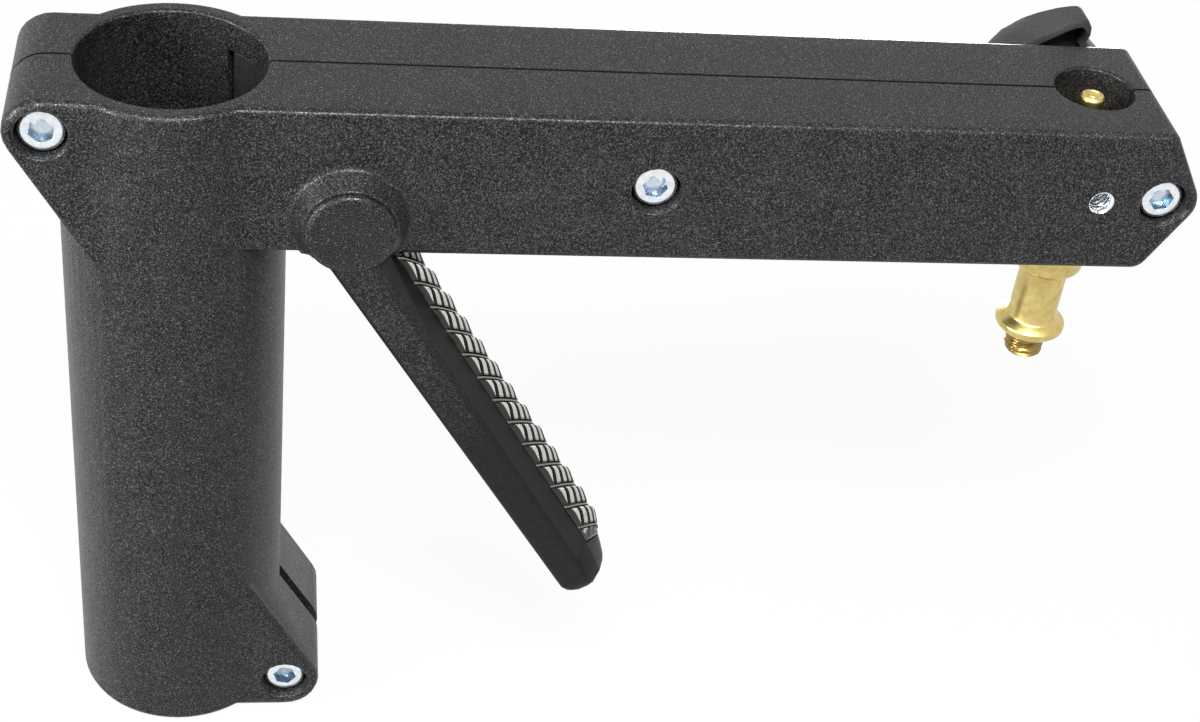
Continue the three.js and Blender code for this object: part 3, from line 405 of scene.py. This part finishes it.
finishes = {
    "coat": powder_coat("powder_coat", srgb(8, 8, 8), srgb(103, 103, 104), 0.17),
    "lever_coat": powder_coat("lever_coat", srgb(9, 9, 8), srgb(94, 94, 94), 0.2, True),
    "grip": moulded_rubber("grip_rubber"),
    "zinc": zinc_plate("zinc_plate"),
    "steel": turned_metal("turned_steel", srgb(128, 131, 136), srgb(178, 181, 186), 1),
    "brass": turned_metal("turned_brass", srgb(164, 136, 70), srgb(232, 214, 142), 2, 0.24),
    "brass_bush": turned_metal("brass_bush", srgb(178, 146, 82), srgb(216, 190, 122), 1),
    "plastic": moulded_plastic("knob_plastic"),
    "pad": brake_lining("brake_lining"),
}


# Turned pieces

def plain(radius, along, angle):
    return radius


def hexagon(radius, along, angle):
    """Corner-to-flat change of a hexagon whose inner circle has this radius."""
    return radius / math.cos((angle + math.pi / 6) % (math.pi / 3) - math.pi / 6)


def knurled(radius, along, angle):
    return radius - 0.09 * abs(math.sin(17 * angle))


def threaded(pitch, depth):
    def crest(radius, along, angle):
        turn = (along / pitch - angle / math.tau) % 1
        return radius - depth * min(1.0, 1.6 * abs(2 * turn - 1))
    return crest


def thread_rings(radius, start, end, form, step=0.2):
    """Rings close enough together to draw a thread between two levels."""
    count = max(1, round(abs(end - start) / step))
    return [(radius, start + (end - start) * i / count, form) for i in range(count + 1)]


def turned_mesh(name, rings, place, turns=72, recess=0):
    """Closed body through rings of (radius, level along the axis, form), poles at radius 0.

    The faces between the first rings, as many as recess says, are marked for painted shade in the
    finish, fully on the last of them."""
    work = bmesh.new()
    painted_shade = work.faces.layers.float.new("recess")
    loops = []
    for radius, along, form in rings:
        if radius == 0:
            loops.append([work.verts.new(place(0.0, 0.0, along))])
            continue
        loop = []
        for i in range(turns):
            angle = math.tau * i / turns
            reach = form(radius, along, angle)
            spot = place(reach * math.cos(angle), reach * math.sin(angle), along)
            loop.append(work.verts.new(spot))
        loops.append(loop)
    pairs = list(zip(loops, loops[1:]))
    if rings[0][0] != 0:
        pairs.append((loops[-1], loops[0]))
    for index, (low, high) in enumerate(pairs):
        # Painted shade: full on the last marked band, 0.4 on those before it
        depth = 1.0 if index == recess - 1 else 0.4 if index < recess else 0.0
        for i in range(turns):
            corners = [low[i % len(low)], low[(i + 1) % turns % len(low)]]
            corners += [high[(i + 1) % turns % len(high)], high[i % len(high)]]
            kept = list(dict.fromkeys(corners))
            if len(kept) > 2:
                work.faces.new(kept)[painted_shade] = depth
    bmesh.ops.recalc_face_normals(work, faces=work.faces)
    mesh = bpy.data.meshes.new(name)
    work.to_mesh(mesh)
    work.free()
    return mesh


def across_arm(x, z):
    """Placing of a body whose axis runs along Y through (x, z)."""
    return lambda a, b, along: Vector((x + a, along, z + b)) * MM


def upright(x):
    """Placing of a body whose axis runs along Z through (x, 0)."""
    return lambda a, b, along: Vector((x + a, b, along)) * MM


# Geometry trees

class Plan(Sheet):
    """A geometry tree with named inputs, whose last nodes set its material."""

    def __init__(self, name, inputs):
        super().__init__(bpy.data.node_groups.new(name, "GeometryNodeTree"))
        interface = self.tree.interface
        interface.new_socket("Geometry", in_out="INPUT", socket_type="NodeSocketGeometry")
        interface.new_socket("Geometry", in_out="OUTPUT", socket_type="NodeSocketGeometry")
        self.entry = self.tree.nodes.new("NodeGroupInput")
        self.keys = {}
        for label, kind in inputs.items():
            socket = interface.new_socket(label, in_out="INPUT", socket_type="NodeSocket" + kind)
            self.keys[label] = socket.identifier

    def given(self, label):
        return Wire(self, self.entry.outputs[label])

    def end(self, geometry, finish):
        whole = self.node("GeometryNodeRealizeInstances", None, {"Geometry": geometry})
        values = {"Geometry": whole, "Material": finishes[finish]}
        coated = self.node("GeometryNodeSetMaterial", None, values)
        self.node("NodeGroupOutput", None, {"Geometry": coated})

    def run(self, mesh, name, **values):
        """Plain mesh that the tree makes from a mesh."""
        source = bpy.data.objects.new(name + "_source", mesh)
        bpy.context.scene.collection.objects.link(source)
        step = source.modifiers.new(name, "NODES")
        step.node_group = self.tree
        for label, value in values.items():
            step[self.keys[label]] = value
        bpy.context.view_layer.update()
        graph = bpy.context.evaluated_depsgraph_get()
        ready = source.evaluated_get(graph)
        made = bpy.data.meshes.new_from_object(
            ready, preserve_all_data_layers=True, depsgraph=graph,
        )
        bpy.data.objects.remove(source)
        made.name = name
        return made


def seated_sets(finish):
    """Tree that sets one fastener at each site, turned at random about the arm's depth."""
    plan = Plan("seated_sets", {"Piece": "Object", "Turn": "Float", "Seed": "Int"})
    piece = plan.node("GeometryNodeObjectInfo", None, {0: plan.given("Piece")}, output="Geometry")
    turn = plan.node(
        "FunctionNodeRandomValue", {"data_type": "FLOAT"},
        {2: plan.given("Turn") * -1.0, 3: plan.given("Turn"), 8: plan.given("Seed")}, output=1,
    )
    euler = plan.node("ShaderNodeCombineXYZ", None, {1: turn})
    rotation = plan.node("FunctionNodeEulerToRotation", None, {0: euler})
    sets = plan.node("GeometryNodeInstanceOnPoints", None, {
        "Points": plan.given("Geometry"), "Instance": piece, "Rotation": rotation,
    })
    plan.end(sets, finish)
    return plan


def flank_cells(finish):
    """Tree that repeats one grip cell and bends the row over the lever's flank.

    A cell's mesh is in shares: X along the pitch, Y over the band, Z the rise in millimetres."""
    plan = Plan("flank_cells", {
        "Cells": "Int", "Full cells": "Float", "Tail share": "Float", "Pitch": "Float",
        "Start": "Float", "Slant": "Float", "Tip slant": "Float",
    })
    row = plan.node(
        "GeometryNodeMeshLine", {"mode": "OFFSET"},
        {"Count": plan.given("Cells"), "Offset": (1.0, 0.0, 0.0)},
    )
    cells = plan.node("GeometryNodeInstanceOnPoints", None, {
        "Points": row, "Instance": plan.given("Geometry"),
    })
    whole = plan.node("GeometryNodeRealizeInstances", None, {"Geometry": cells})
    place = plan.node("GeometryNodeInputPosition")
    step, over, height = [plan.axis(place, i) for i in range(3)]

    full = plan.given("Full cells")
    past_full = (step - full).apply("MAXIMUM", 0.0)
    tail = past_full.clamped()
    rise = height - height.apply("MAXIMUM", 0.0) * (tail * 5.0).clamped() * TAIL_SINK
    steps = step.apply("MINIMUM", full) + past_full * plan.given("Tail share")
    level = plan.given("Start") + steps * plan.given("Pitch")
    ribs_end = plan.given("Start") + full * plan.given("Pitch")
    past_ribs = ((level - ribs_end) / (BLADE_LENGTH - ribs_end)).clamped()
    slant = plan.given("Slant") + (plan.given("Tip slant") - plan.given("Slant")) * past_ribs
    station = level + slant * over

    share = (station / BLADE_LENGTH).clamped()
    past_tip = (station - (BLADE_LENGTH - TIP_ZONE)).apply("MAXIMUM", 0.0) / TIP_ZONE
    draw = past_tip * past_tip * TIP_NARROW
    out = BAND_OUT[0] + share * (BAND_OUT[1] - BAND_OUT[0])
    back = BAND_BACK[0] + share * (BAND_BACK[1] - BAND_BACK[0])
    start = (out - draw * 0.5, back + BLADE_FRONT)
    crest = (CREST[0] - draw, CREST[1])
    end = (FLANK_END[0] - draw, FLANK_END[1])
    rest = 1.0 - over
    spot = [
        rest * rest * a + rest * over * b * 2.0 + over * over * c
        for a, b, c in zip(start, crest, end)
    ]
    lean = [rest * (b - a) + over * (c - b) for a, b, c in zip(start, crest, end)]
    length = (lean[0] * lean[0] + lean[1] * lean[1]).apply("SQRT")
    wide = spot[0] + rise * lean[1] / length
    depth = spot[1] - rise * lean[0] / length

    cos, sin = math.cos(LEVER_ANGLE), math.sin(LEVER_ANGLE)
    place_x = (LEVER_X + station * cos + wide * sin) * MM
    place_z = (LEVER_Z - station * sin + wide * cos) * MM
    spots = plan.node("ShaderNodeCombineXYZ", None, {0: place_x, 1: depth * MM, 2: place_z})
    # The painted highlight marks of the pads and ribs; on the tail cell they are kept only near the
    # band's start, narrowing along it
    pale = plan.node("GeometryNodeInputNamedAttribute", {"data_type": "FLOAT"}, {"Name": "pad"})
    inside = ((0.4 - tail * 0.6 - over) * 30.0).clamped()
    kept = inside.apply("MAXIMUM", 1.0 - (tail * 200.0).clamped())
    marked = plan.node(
        "GeometryNodeStoreNamedAttribute", {"data_type": "FLOAT", "domain": "FACE"},
        {"Geometry": whole, "Name": "pad", "Value": pale * kept},
    )
    bent = plan.node("GeometryNodeSetPosition", None, {"Geometry": marked, "Position": spots})
    joined = plan.node("GeometryNodeMergeByDistance", None, {
        "Geometry": bent, "Distance": MERGE_WITHIN,
    })
    plan.end(joined, finish)
    return plan


# Mesh helpers

def finished(name, mesh, finish, body, *nodes):
    """A piece from a mesh: shaded, riding on its body and standing for its CAD nodes."""
    piece = bpy.data.objects.new(name, mesh)
    bpy.context.scene.collection.objects.link(piece)
    mesh.materials.clear()
    mesh.materials.append(finishes[finish])
    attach(piece, body)
    if nodes:
        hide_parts(*nodes)
    return piece


def smooth(mesh, crease):
    """Smooth shading between faces that meet at less than the crease, in degrees."""
    mesh.polygons.foreach_set("use_smooth", [True] * len(mesh.polygons))
    mesh.set_sharp_from_angle(angle=math.radians(crease))
    return mesh


def merged_copy(node):
    """The CAD node's mesh with its corners joined and its flat faces whole."""
    work = bmesh.new()
    work.from_mesh(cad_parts[node].data)
    bmesh.ops.remove_doubles(work, verts=work.verts, dist=CAD_MERGE_WITHIN)
    bmesh.ops.dissolve_limit(
        work, angle_limit=math.radians(FLAT_WITHIN), verts=work.verts, edges=work.edges,
    )
    mesh = bpy.data.meshes.new(node + "_dressed")
    work.to_mesh(mesh)
    work.free()
    if mesh.attributes.get("custom_normal"):
        mesh.attributes.remove(mesh.attributes["custom_normal"])
    return mesh


def weigh_normals(piece):
    """Lets the large faces of a bevelled piece keep their own shading."""
    faces = piece.modifiers.new("faces", "WEIGHTED_NORMAL")
    faces.keep_sharp = True
    faces.weight = 60


def dressed(node, finish, body, edge, crease=40, broken_from=40):
    """The CAD node with smooth rounds, and its sharp edges broken from this angle on."""
    mesh = smooth(merged_copy(node), crease)
    piece = finished(node + "_body", mesh, finish, body, node)
    bevel = piece.modifiers.new("edges", "BEVEL")
    bevel.width = edge
    bevel.segments = 2
    bevel.limit_method = "ANGLE"
    bevel.angle_limit = math.radians(broken_from)
    bevel.use_clamp_overlap = True
    bevel.harden_normals = False
    weigh_normals(piece)


def dress_castings():
    for node in ("front_shell", "rear_shell"):
        dressed(node, "coat", "bracket", CAST_EDGE, crease=50, broken_from=60)


def cap_screw_mesh():
    """Socket cap screw with a knurled head, a chamfered hexagon socket and a cut thread."""
    top, head = SCREW_TOP, SCREW_TOP + SCREW_HEAD_HEIGHT
    flat = SOCKET_ACROSS / 2
    floor = top + SOCKET_DEPTH
    shank = SCREW_SHANK_R - 0.02
    cut = threaded(1.0, 0.45)
    rings = [
        (0, floor + 0.9, plain), (flat - 0.7, floor + 0.1, plain), (flat, floor, hexagon),
        (flat, top + 0.14, hexagon), (flat + 0.42, top + 0.03, plain), (flat + 0.55, top, plain),
        (SCREW_HEAD_R - 0.95, top, plain), (SCREW_HEAD_R - 0.6, top + 0.08, plain),
        (SCREW_HEAD_R - 0.1, top + 0.4, knurled), (SCREW_HEAD_R, top + 0.75, knurled),
        (SCREW_HEAD_R, head - 0.3, knurled), (SCREW_HEAD_R - 0.25, head, plain),
        (shank + 0.3, head, plain), (shank, head + 0.3, plain), (shank, -2.0, plain),
    ]
    rings += thread_rings(shank, -1.8, SCREW_END - 0.7, cut)
    rings += [
        (shank - 0.6, SCREW_END - 0.15, plain), (shank - 1.0, SCREW_END, plain),
        (0, SCREW_END, plain),
    ]
    # The socket's floor and walls, its first three bands, carry painted shade
    return turned_mesh("cap_screw", rings, across_arm(0, 0), recess=3)


def seat_screws():
    sites = bpy.data.meshes.new("screw_sites")
    sites.from_pydata([(x * MM, 0, z * MM) for x, z in SCREW_SITES.values()], [], [])
    pattern = bpy.data.objects.new("cap_screw_pattern", smooth(cap_screw_mesh(), 32))
    bpy.context.scene.collection.objects.link(pattern)
    plan = seated_sets("zinc")
    mesh = plan.run(sites, "clamp_screws", Piece=pattern, Turn=0.5, Seed=4)
    bpy.data.objects.remove(pattern)
    nodes = [site + "_screw" for site in SCREW_SITES]
    finished("clamp_screws", mesh, "zinc", "bracket", *nodes)


def spigot_mesh():
    """Turned brass spigot, from its lower thread up to its stud."""
    neck, body, stud = 5.75, 8.4, 2.95
    foot = [(0, 103.6), (3.5, 103.6), (3.9, 103.7), (4.3, 104.2)]
    shaft = [
        (4.1, 109.9), (4.1, 110.3), (4.4, 110.4), (6.7, 110.4), (7.0, 110.55), (8.25, 111.8),
        (body, 112.05), (body, 113.2), (8.25, 113.42), (6.3, 114.35), (5.95, 114.6), (neck, 115.0),
        (neck, 128.4), (5.9, 128.95), (6.3, 129.2), (6.9, 129.22), (7.3, 129.5), (8.2, 130.5),
        (body, 130.9), (body, 155.3), (8.25, 155.5), (6.1, 155.5), (neck, 155.9), (neck, 164.5),
        (6.1, 164.9), (8.2, 164.9), (body, 165.1), (body, 168.9), (7.6, 169.7), (3.3, 169.7),
        (2.6, 169.9), (2.6, 170.7), (stud, 171.0), (stud, 175.6), (2.75, 176.1), (2.5, 176.35),
        (2.4, 176.5), (1.9, 176.6), (1.75, 176.35), (1.2, 176.3), (1.05, 176.5), (0.5, 176.45),
        (0, 176.3),
    ]
    rings = [(radius, along, plain) for radius, along in foot]
    rings += thread_rings(4.75, 104.4, 109.6, threaded(THREAD_PITCH, THREAD_DEPTH), 0.16)
    rings += [(radius, along, plain) for radius, along in shaft]
    return turned_mesh("spigot_turned", rings, upright(SPIGOT_X), 96)


def insert_mesh():
    """Thread insert in the arm's face: a plain sleeve with a cut thread inside."""
    outer, hole, front, rear = 3.1, 2.5, -20.0, -12.0
    rings = [(outer, front + 0.25, plain), (outer - 0.2, front, plain), (hole + 0.35, front, plain)]
    rings += thread_rings(hole + 0.34, front + 0.2, rear - 0.3, threaded(1.25, 0.34))
    rings += [(hole + 0.3, rear, plain), (outer - 0.2, rear, plain), (outer, rear - 0.25, plain)]
    return turned_mesh("front_insert_turned", rings, across_arm(*INSERT_SITE))


def grip_cell():
    """One grip cell in shares: a bulging pad cut by cross grooves, then a rib.

    The pads' tops and the ribs are marked in the attribute pad for a painted highlight: fully on
    the pads, half at their ends, which is painted shade where they curve away, and 0.3 on the ribs."""
    levels = [
        (0.0, 0.0, False), (0.02, 0.04, False), (0.05, 0.8, True), (0.1, 1.25, True),
        (0.25, 1.4, True), (0.4, 1.32, True), (0.56, 1.16, True), (0.74, 0.96, True),
        (0.81, 0.84, True), (0.845, 0.05, False), (0.875, 0.05, False), (0.895, 0.7, True),
        (0.965, 0.7, True), (0.985, 0.05, False),
    ]
    work = bmesh.new()
    highlight_layer = work.faces.layers.float.new("pad")

    def columns(along):
        """Places over the band at one level: (place, share of the rise, whether in a groove)."""
        shoulder = [(0.02, 0.0, False), (0.05, 0.5, False), (PAD_START, 0.92, False)]
        grooves = []
        for groove in range(GROOVES):
            middle = FIRST_GROOVE + GROOVE_STEP * groove - GROOVE_DRIFT * (along - 0.53)
            grooves += [
                (middle - GROOVE_HALF, 1.0, False), (middle - GROOVE_FLOOR_HALF, 1.0, True),
                (middle + GROOVE_FLOOR_HALF, 1.0, True), (middle + GROOVE_HALF, 1.0, False),
            ]
        within = [
            (min(max(u, PAD_START + 0.001 * i), PAD_END - 0.001 * (18 - i)), share, cut)
            for i, (u, share, cut) in enumerate(grooves)
        ]
        return shoulder + within + [(PAD_END, 0.8, False), (CELL_END, 0.0, False)]

    rows = []
    for along, rise, top in levels:
        in_pad = 0.05 < along < PAD_END
        row = []
        for u, share, cut in columns(min(max(along, 0.06), PAD_END)):
            height = rise * share
            if cut and in_pad:
                height = max(0.0, height - GROOVE_DEPTH)
            row.append(work.verts.new((along, u, height)))
        row += [work.verts.new((along, u, -GRIP_DEPTH)) for u in (CELL_END, 0.46, 0.02)]
        rows.append((row, along, top))
    last = [work.verts.new((1.0, vert.co.y, vert.co.z)) for vert in rows[0][0]]
    rows.append((last, 1.0, False))
    for (low, along, top), (high, _, next_top) in zip(rows, rows[1:]):
        for i, vert in enumerate(low):
            j = (i + 1) % len(low)
            face = work.faces.new((vert, low[j], high[j], high[i]))
            on_rib = 0.89 < along < 0.98
            pad_column = 2 <= i <= 19 and (i - 3) % 4 == 3 or i == 2 or i == 19
            # Painted highlight on pads and ribs, halved at the pads' ends as painted shade where
            # they curve away
            if on_rib and i < 20:
                face[highlight_layer] = 0.3
            elif pad_column and top and next_top:
                face[highlight_layer] = 0.5 if along < 0.04 or along > 0.73 else 1.0
    mesh = bpy.data.meshes.new("grip_cell")
    work.to_mesh(mesh)
    work.free()
    return mesh


def grip_mesh():
    plan = flank_cells("grip")
    mesh = plan.run(grip_cell(), "lever_grip_band", **{
        "Cells": GRIP_CELLS, "Full cells": GRIP_FULL_CELLS, "Tail share": GRIP_TAIL_SHARE,
        "Pitch": GRIP_PITCH, "Start": GRIP_START, "Slant": GRIP_SLANT, "Tip slant": TIP_SLANT,
    })
    work = bmesh.new()
    work.from_mesh(mesh)
    pivot = Vector((LEVER_X, 0, LEVER_Z)) * MM
    for angle in (0.0, LEVER_TRAVEL):
        up = Vector((-math.sin(angle), 0, math.cos(angle)))
        everything = work.verts[:] + work.edges[:] + work.faces[:]
        bmesh.ops.bisect_plane(
            work, geom=everything, plane_co=pivot - up * ARM_CLEARANCE * MM, plane_no=up,
            clear_outer=True,
        )
    bmesh.ops.holes_fill(work, edges=work.edges, sides=0)
    bmesh.ops.recalc_face_normals(work, faces=work.faces)
    work.to_mesh(mesh)
    work.free()
    return smooth(mesh, 28)


def head_shoulder_mesh():
    """Rounded shoulder of the lever's head, which overhangs the casting's boss."""
    rings = [
        (9.0, -25.6), (9.82, -25.6), (9.95, -25.75), (9.93, -26.1), (9.78, -26.5),
        (9.5, -26.82), (9.1, -27.05), (8.7, -27.15), (8.45, -27.18), (8.3, -27.0),
    ]
    return turned_mesh(
        "head_shoulder", [(radius, along, plain) for radius, along in rings],
        across_arm(LEVER_X, LEVER_Z), 96,
    )


def dress_lever():
    """The lever, with a broad soft round along the ridge between its front and its flank."""
    mesh = smooth(merged_copy("lever"), 70)
    work = bmesh.new()
    work.from_mesh(mesh)
    weight = work.edges.layers.float.new("bevel_weight_edge")
    for edge in work.edges:
        if len(edge.link_faces) != 2 or edge.calc_length() < RIDGE_LENGTH:
            continue
        normals = [face.normal for face in edge.link_faces]
        front, flank = sorted(normals, key=lambda normal: normal.y)
        fold = math.degrees(front.angle(flank))
        if front.y < -0.9 and flank.x > 0.2 and RIDGE_FOLD[0] < fold < RIDGE_FOLD[1]:
            edge[weight] = 1.0
    work.to_mesh(mesh)
    work.free()
    piece = finished("lever_body", mesh, "lever_coat", "lever", "lever")
    ridge = piece.modifiers.new("ridge", "BEVEL")
    ridge.width = RIDGE_ROUND
    ridge.segments = 8
    ridge.limit_method = "WEIGHT"
    ridge.use_clamp_overlap = True
    weigh_normals(piece)


def dress_knob():
    """The wing knob, with the sunken web that a moulded knob has in its rear face."""
    mesh = merged_copy("wing_knob")
    work = bmesh.new()
    work.from_mesh(mesh)
    work.faces.ensure_lookup_table()
    rear_faces = [face for face in work.faces if face.normal.y > 0.99]
    web = max(rear_faces, key=lambda face: face.calc_area())
    for thickness, rise in ((WEB_RIM, 0.0), (WEB_SLOPE, -WEB_DEPTH)):
        bmesh.ops.inset_region(
            work, faces=[web], thickness=thickness * MM, depth=rise * MM, use_even_offset=True,
        )
    work.to_mesh(mesh)
    work.free()
    finished("wing_knob_body", smooth(mesh, 40), "plastic", "wing", "wing_knob")


def dress_fittings():
    seat_screws()
    finished("lever_head_shoulder", smooth(head_shoulder_mesh(), 60), "coat", "lever")
    for site in SCREW_SITES:
        dressed(site + "_nut", "zinc", "bracket", THIN_EDGE)
    for node in ("front_bushing", "rear_bushing", "wing_bushing"):
        dressed(node, "brass_bush", "bracket", TURNED_EDGE)
    dressed("shaft_washer", "zinc", "bracket", TURNED_EDGE)
    finished("front_insert_body", smooth(insert_mesh(), 40), "zinc", "bracket", "front_insert")
    dressed("shaft_ring", "steel", "lever", THIN_EDGE)
    dressed("cam_shaft", "steel", "lever", TURNED_EDGE)
    dressed("brake_shoe", "pad", "shoe", THIN_EDGE)
    finished("spigot_body", smooth(spigot_mesh(), 40), "brass", "spigot", "spigot")
    dressed("clamp_pad", "brass_bush", "pad", TURNED_EDGE)
    dressed("wing_stud", "zinc", "wing", THIN_EDGE)
    dress_knob()
    dress_lever()
    finished("lever_grip_body", grip_mesh(), "grip", "lever", "lever_grip")


# Camera, floor and lights

def view_rows():
    """Rows of the camera's right, down and forward directions."""
    level = Matrix(((1, 0, 0), (0, 0, -1), (0, 1, 0)))
    yaw, pitch, roll = [
        Matrix.Rotation(angle, 3, axis)
        for angle, axis in ((CAMERA_YAW, "Z"), (CAMERA_PITCH, "X"), (CAMERA_ROLL, "Z"))
    ]
    return roll @ pitch @ level @ yaw


def place_camera():
    right, down, ahead = view_rows()
    turn = Matrix((right, -down, -ahead)).transposed()
    camera = bpy.data.objects.new("camera", bpy.data.cameras.new("camera"))
    bpy.context.scene.collection.objects.link(camera)
    camera.data.sensor_fit = "HORIZONTAL"
    camera.data.sensor_width = SENSOR_WIDTH
    camera.data.lens = SENSOR_WIDTH * LENS_PIXELS / PHOTO_WIDTH
    camera.matrix_world = Matrix.Translation(CAMERA_PLACE) @ turn.to_4x4()
    bpy.context.scene.camera = camera


def seen_directly(sheet):
    """1 for rays from the camera, and for those that metal and glass send on."""
    ray = sheet.tree.nodes.new("ShaderNodeLightPath")
    names = ("Is Camera Ray", "Is Glossy Ray", "Is Transmission Ray")
    camera, glossy, transmitted = [Wire(sheet, ray.outputs[name]) for name in names]
    return camera.apply("MAXIMUM", glossy.apply("MAXIMUM", transmitted))


def lay_floor():
    """White paper as the camera sees it, which still keeps a trace of the object's shadow."""
    mesh = bpy.data.meshes.new("floor")
    signs = ((-1, -1), (1, -1), (1, 1), (-1, 1))
    corners = [(x * FLOOR_REACH, y * FLOOR_REACH, FLOOR_LEVEL) for x, y in signs]
    mesh.from_pydata(corners, [], [(0, 1, 2, 3)])
    floor = bpy.data.objects.new("floor", mesh)
    bpy.context.scene.collection.objects.link(floor)
    finish = Finish("floor_paper")
    fibres = finish.noise(finish.place, 60.0, detail=3.0)
    colour = finish.mix(fibres, srgb(198, 198, 198), srgb(206, 206, 206))
    paper = finish.node("ShaderNodeBsdfDiffuse", None, {"Color": colour})
    glow = finish.node("ShaderNodeEmission", None, {"Strength": 1.0})
    share = seen_directly(finish) * FLOOR_GLOW
    mixed = finish.node("ShaderNodeMixShader", None, {0: share, 1: paper, 2: glow})
    finish.node("ShaderNodeOutputMaterial", None, {"Surface": mixed})
    mesh.materials.append(finish.material)


def light_world():
    """Plain white where it is seen directly, and a dim white room for everything else."""
    world = bpy.data.worlds.new("studio")
    bpy.context.scene.world = world
    world.use_nodes = True
    world.node_tree.nodes.clear()
    sheet = Sheet(world.node_tree)
    seen = seen_directly(sheet)
    room, white = [
        sheet.node("ShaderNodeBackground", None, {"Color": (1.0, 1.0, 1.0, 1.0), "Strength": level})
        for level in (WORLD_LEVEL, 1.0)
    ]
    mixed = sheet.node("ShaderNodeMixShader", None, {0: seen, 1: room, 2: white})
    sheet.node("ShaderNodeOutputWorld", None, {"Surface": mixed})


def hang_lamp(name, place, aim, width, height, power):
    lamp = bpy.data.lights.new(name, "AREA")
    lamp.shape = "RECTANGLE"
    lamp.size = width
    lamp.size_y = height
    lamp.energy = power
    lamp_object = bpy.data.objects.new(name, lamp)
    bpy.context.scene.collection.objects.link(lamp_object)
    lamp_object.location = place
    lamp_object.rotation_euler = (Vector(aim) - Vector(place)).to_track_quat("-Z", "Y").to_euler()


def light_studio():
    light_world()
    for lamp in LAMPS:
        hang_lamp(*lamp)


place_camera()
dress_castings()
dress_fittings()
lay_floor()
light_studio()
bpy.context.scene.view_settings.view_transform = "Standard"
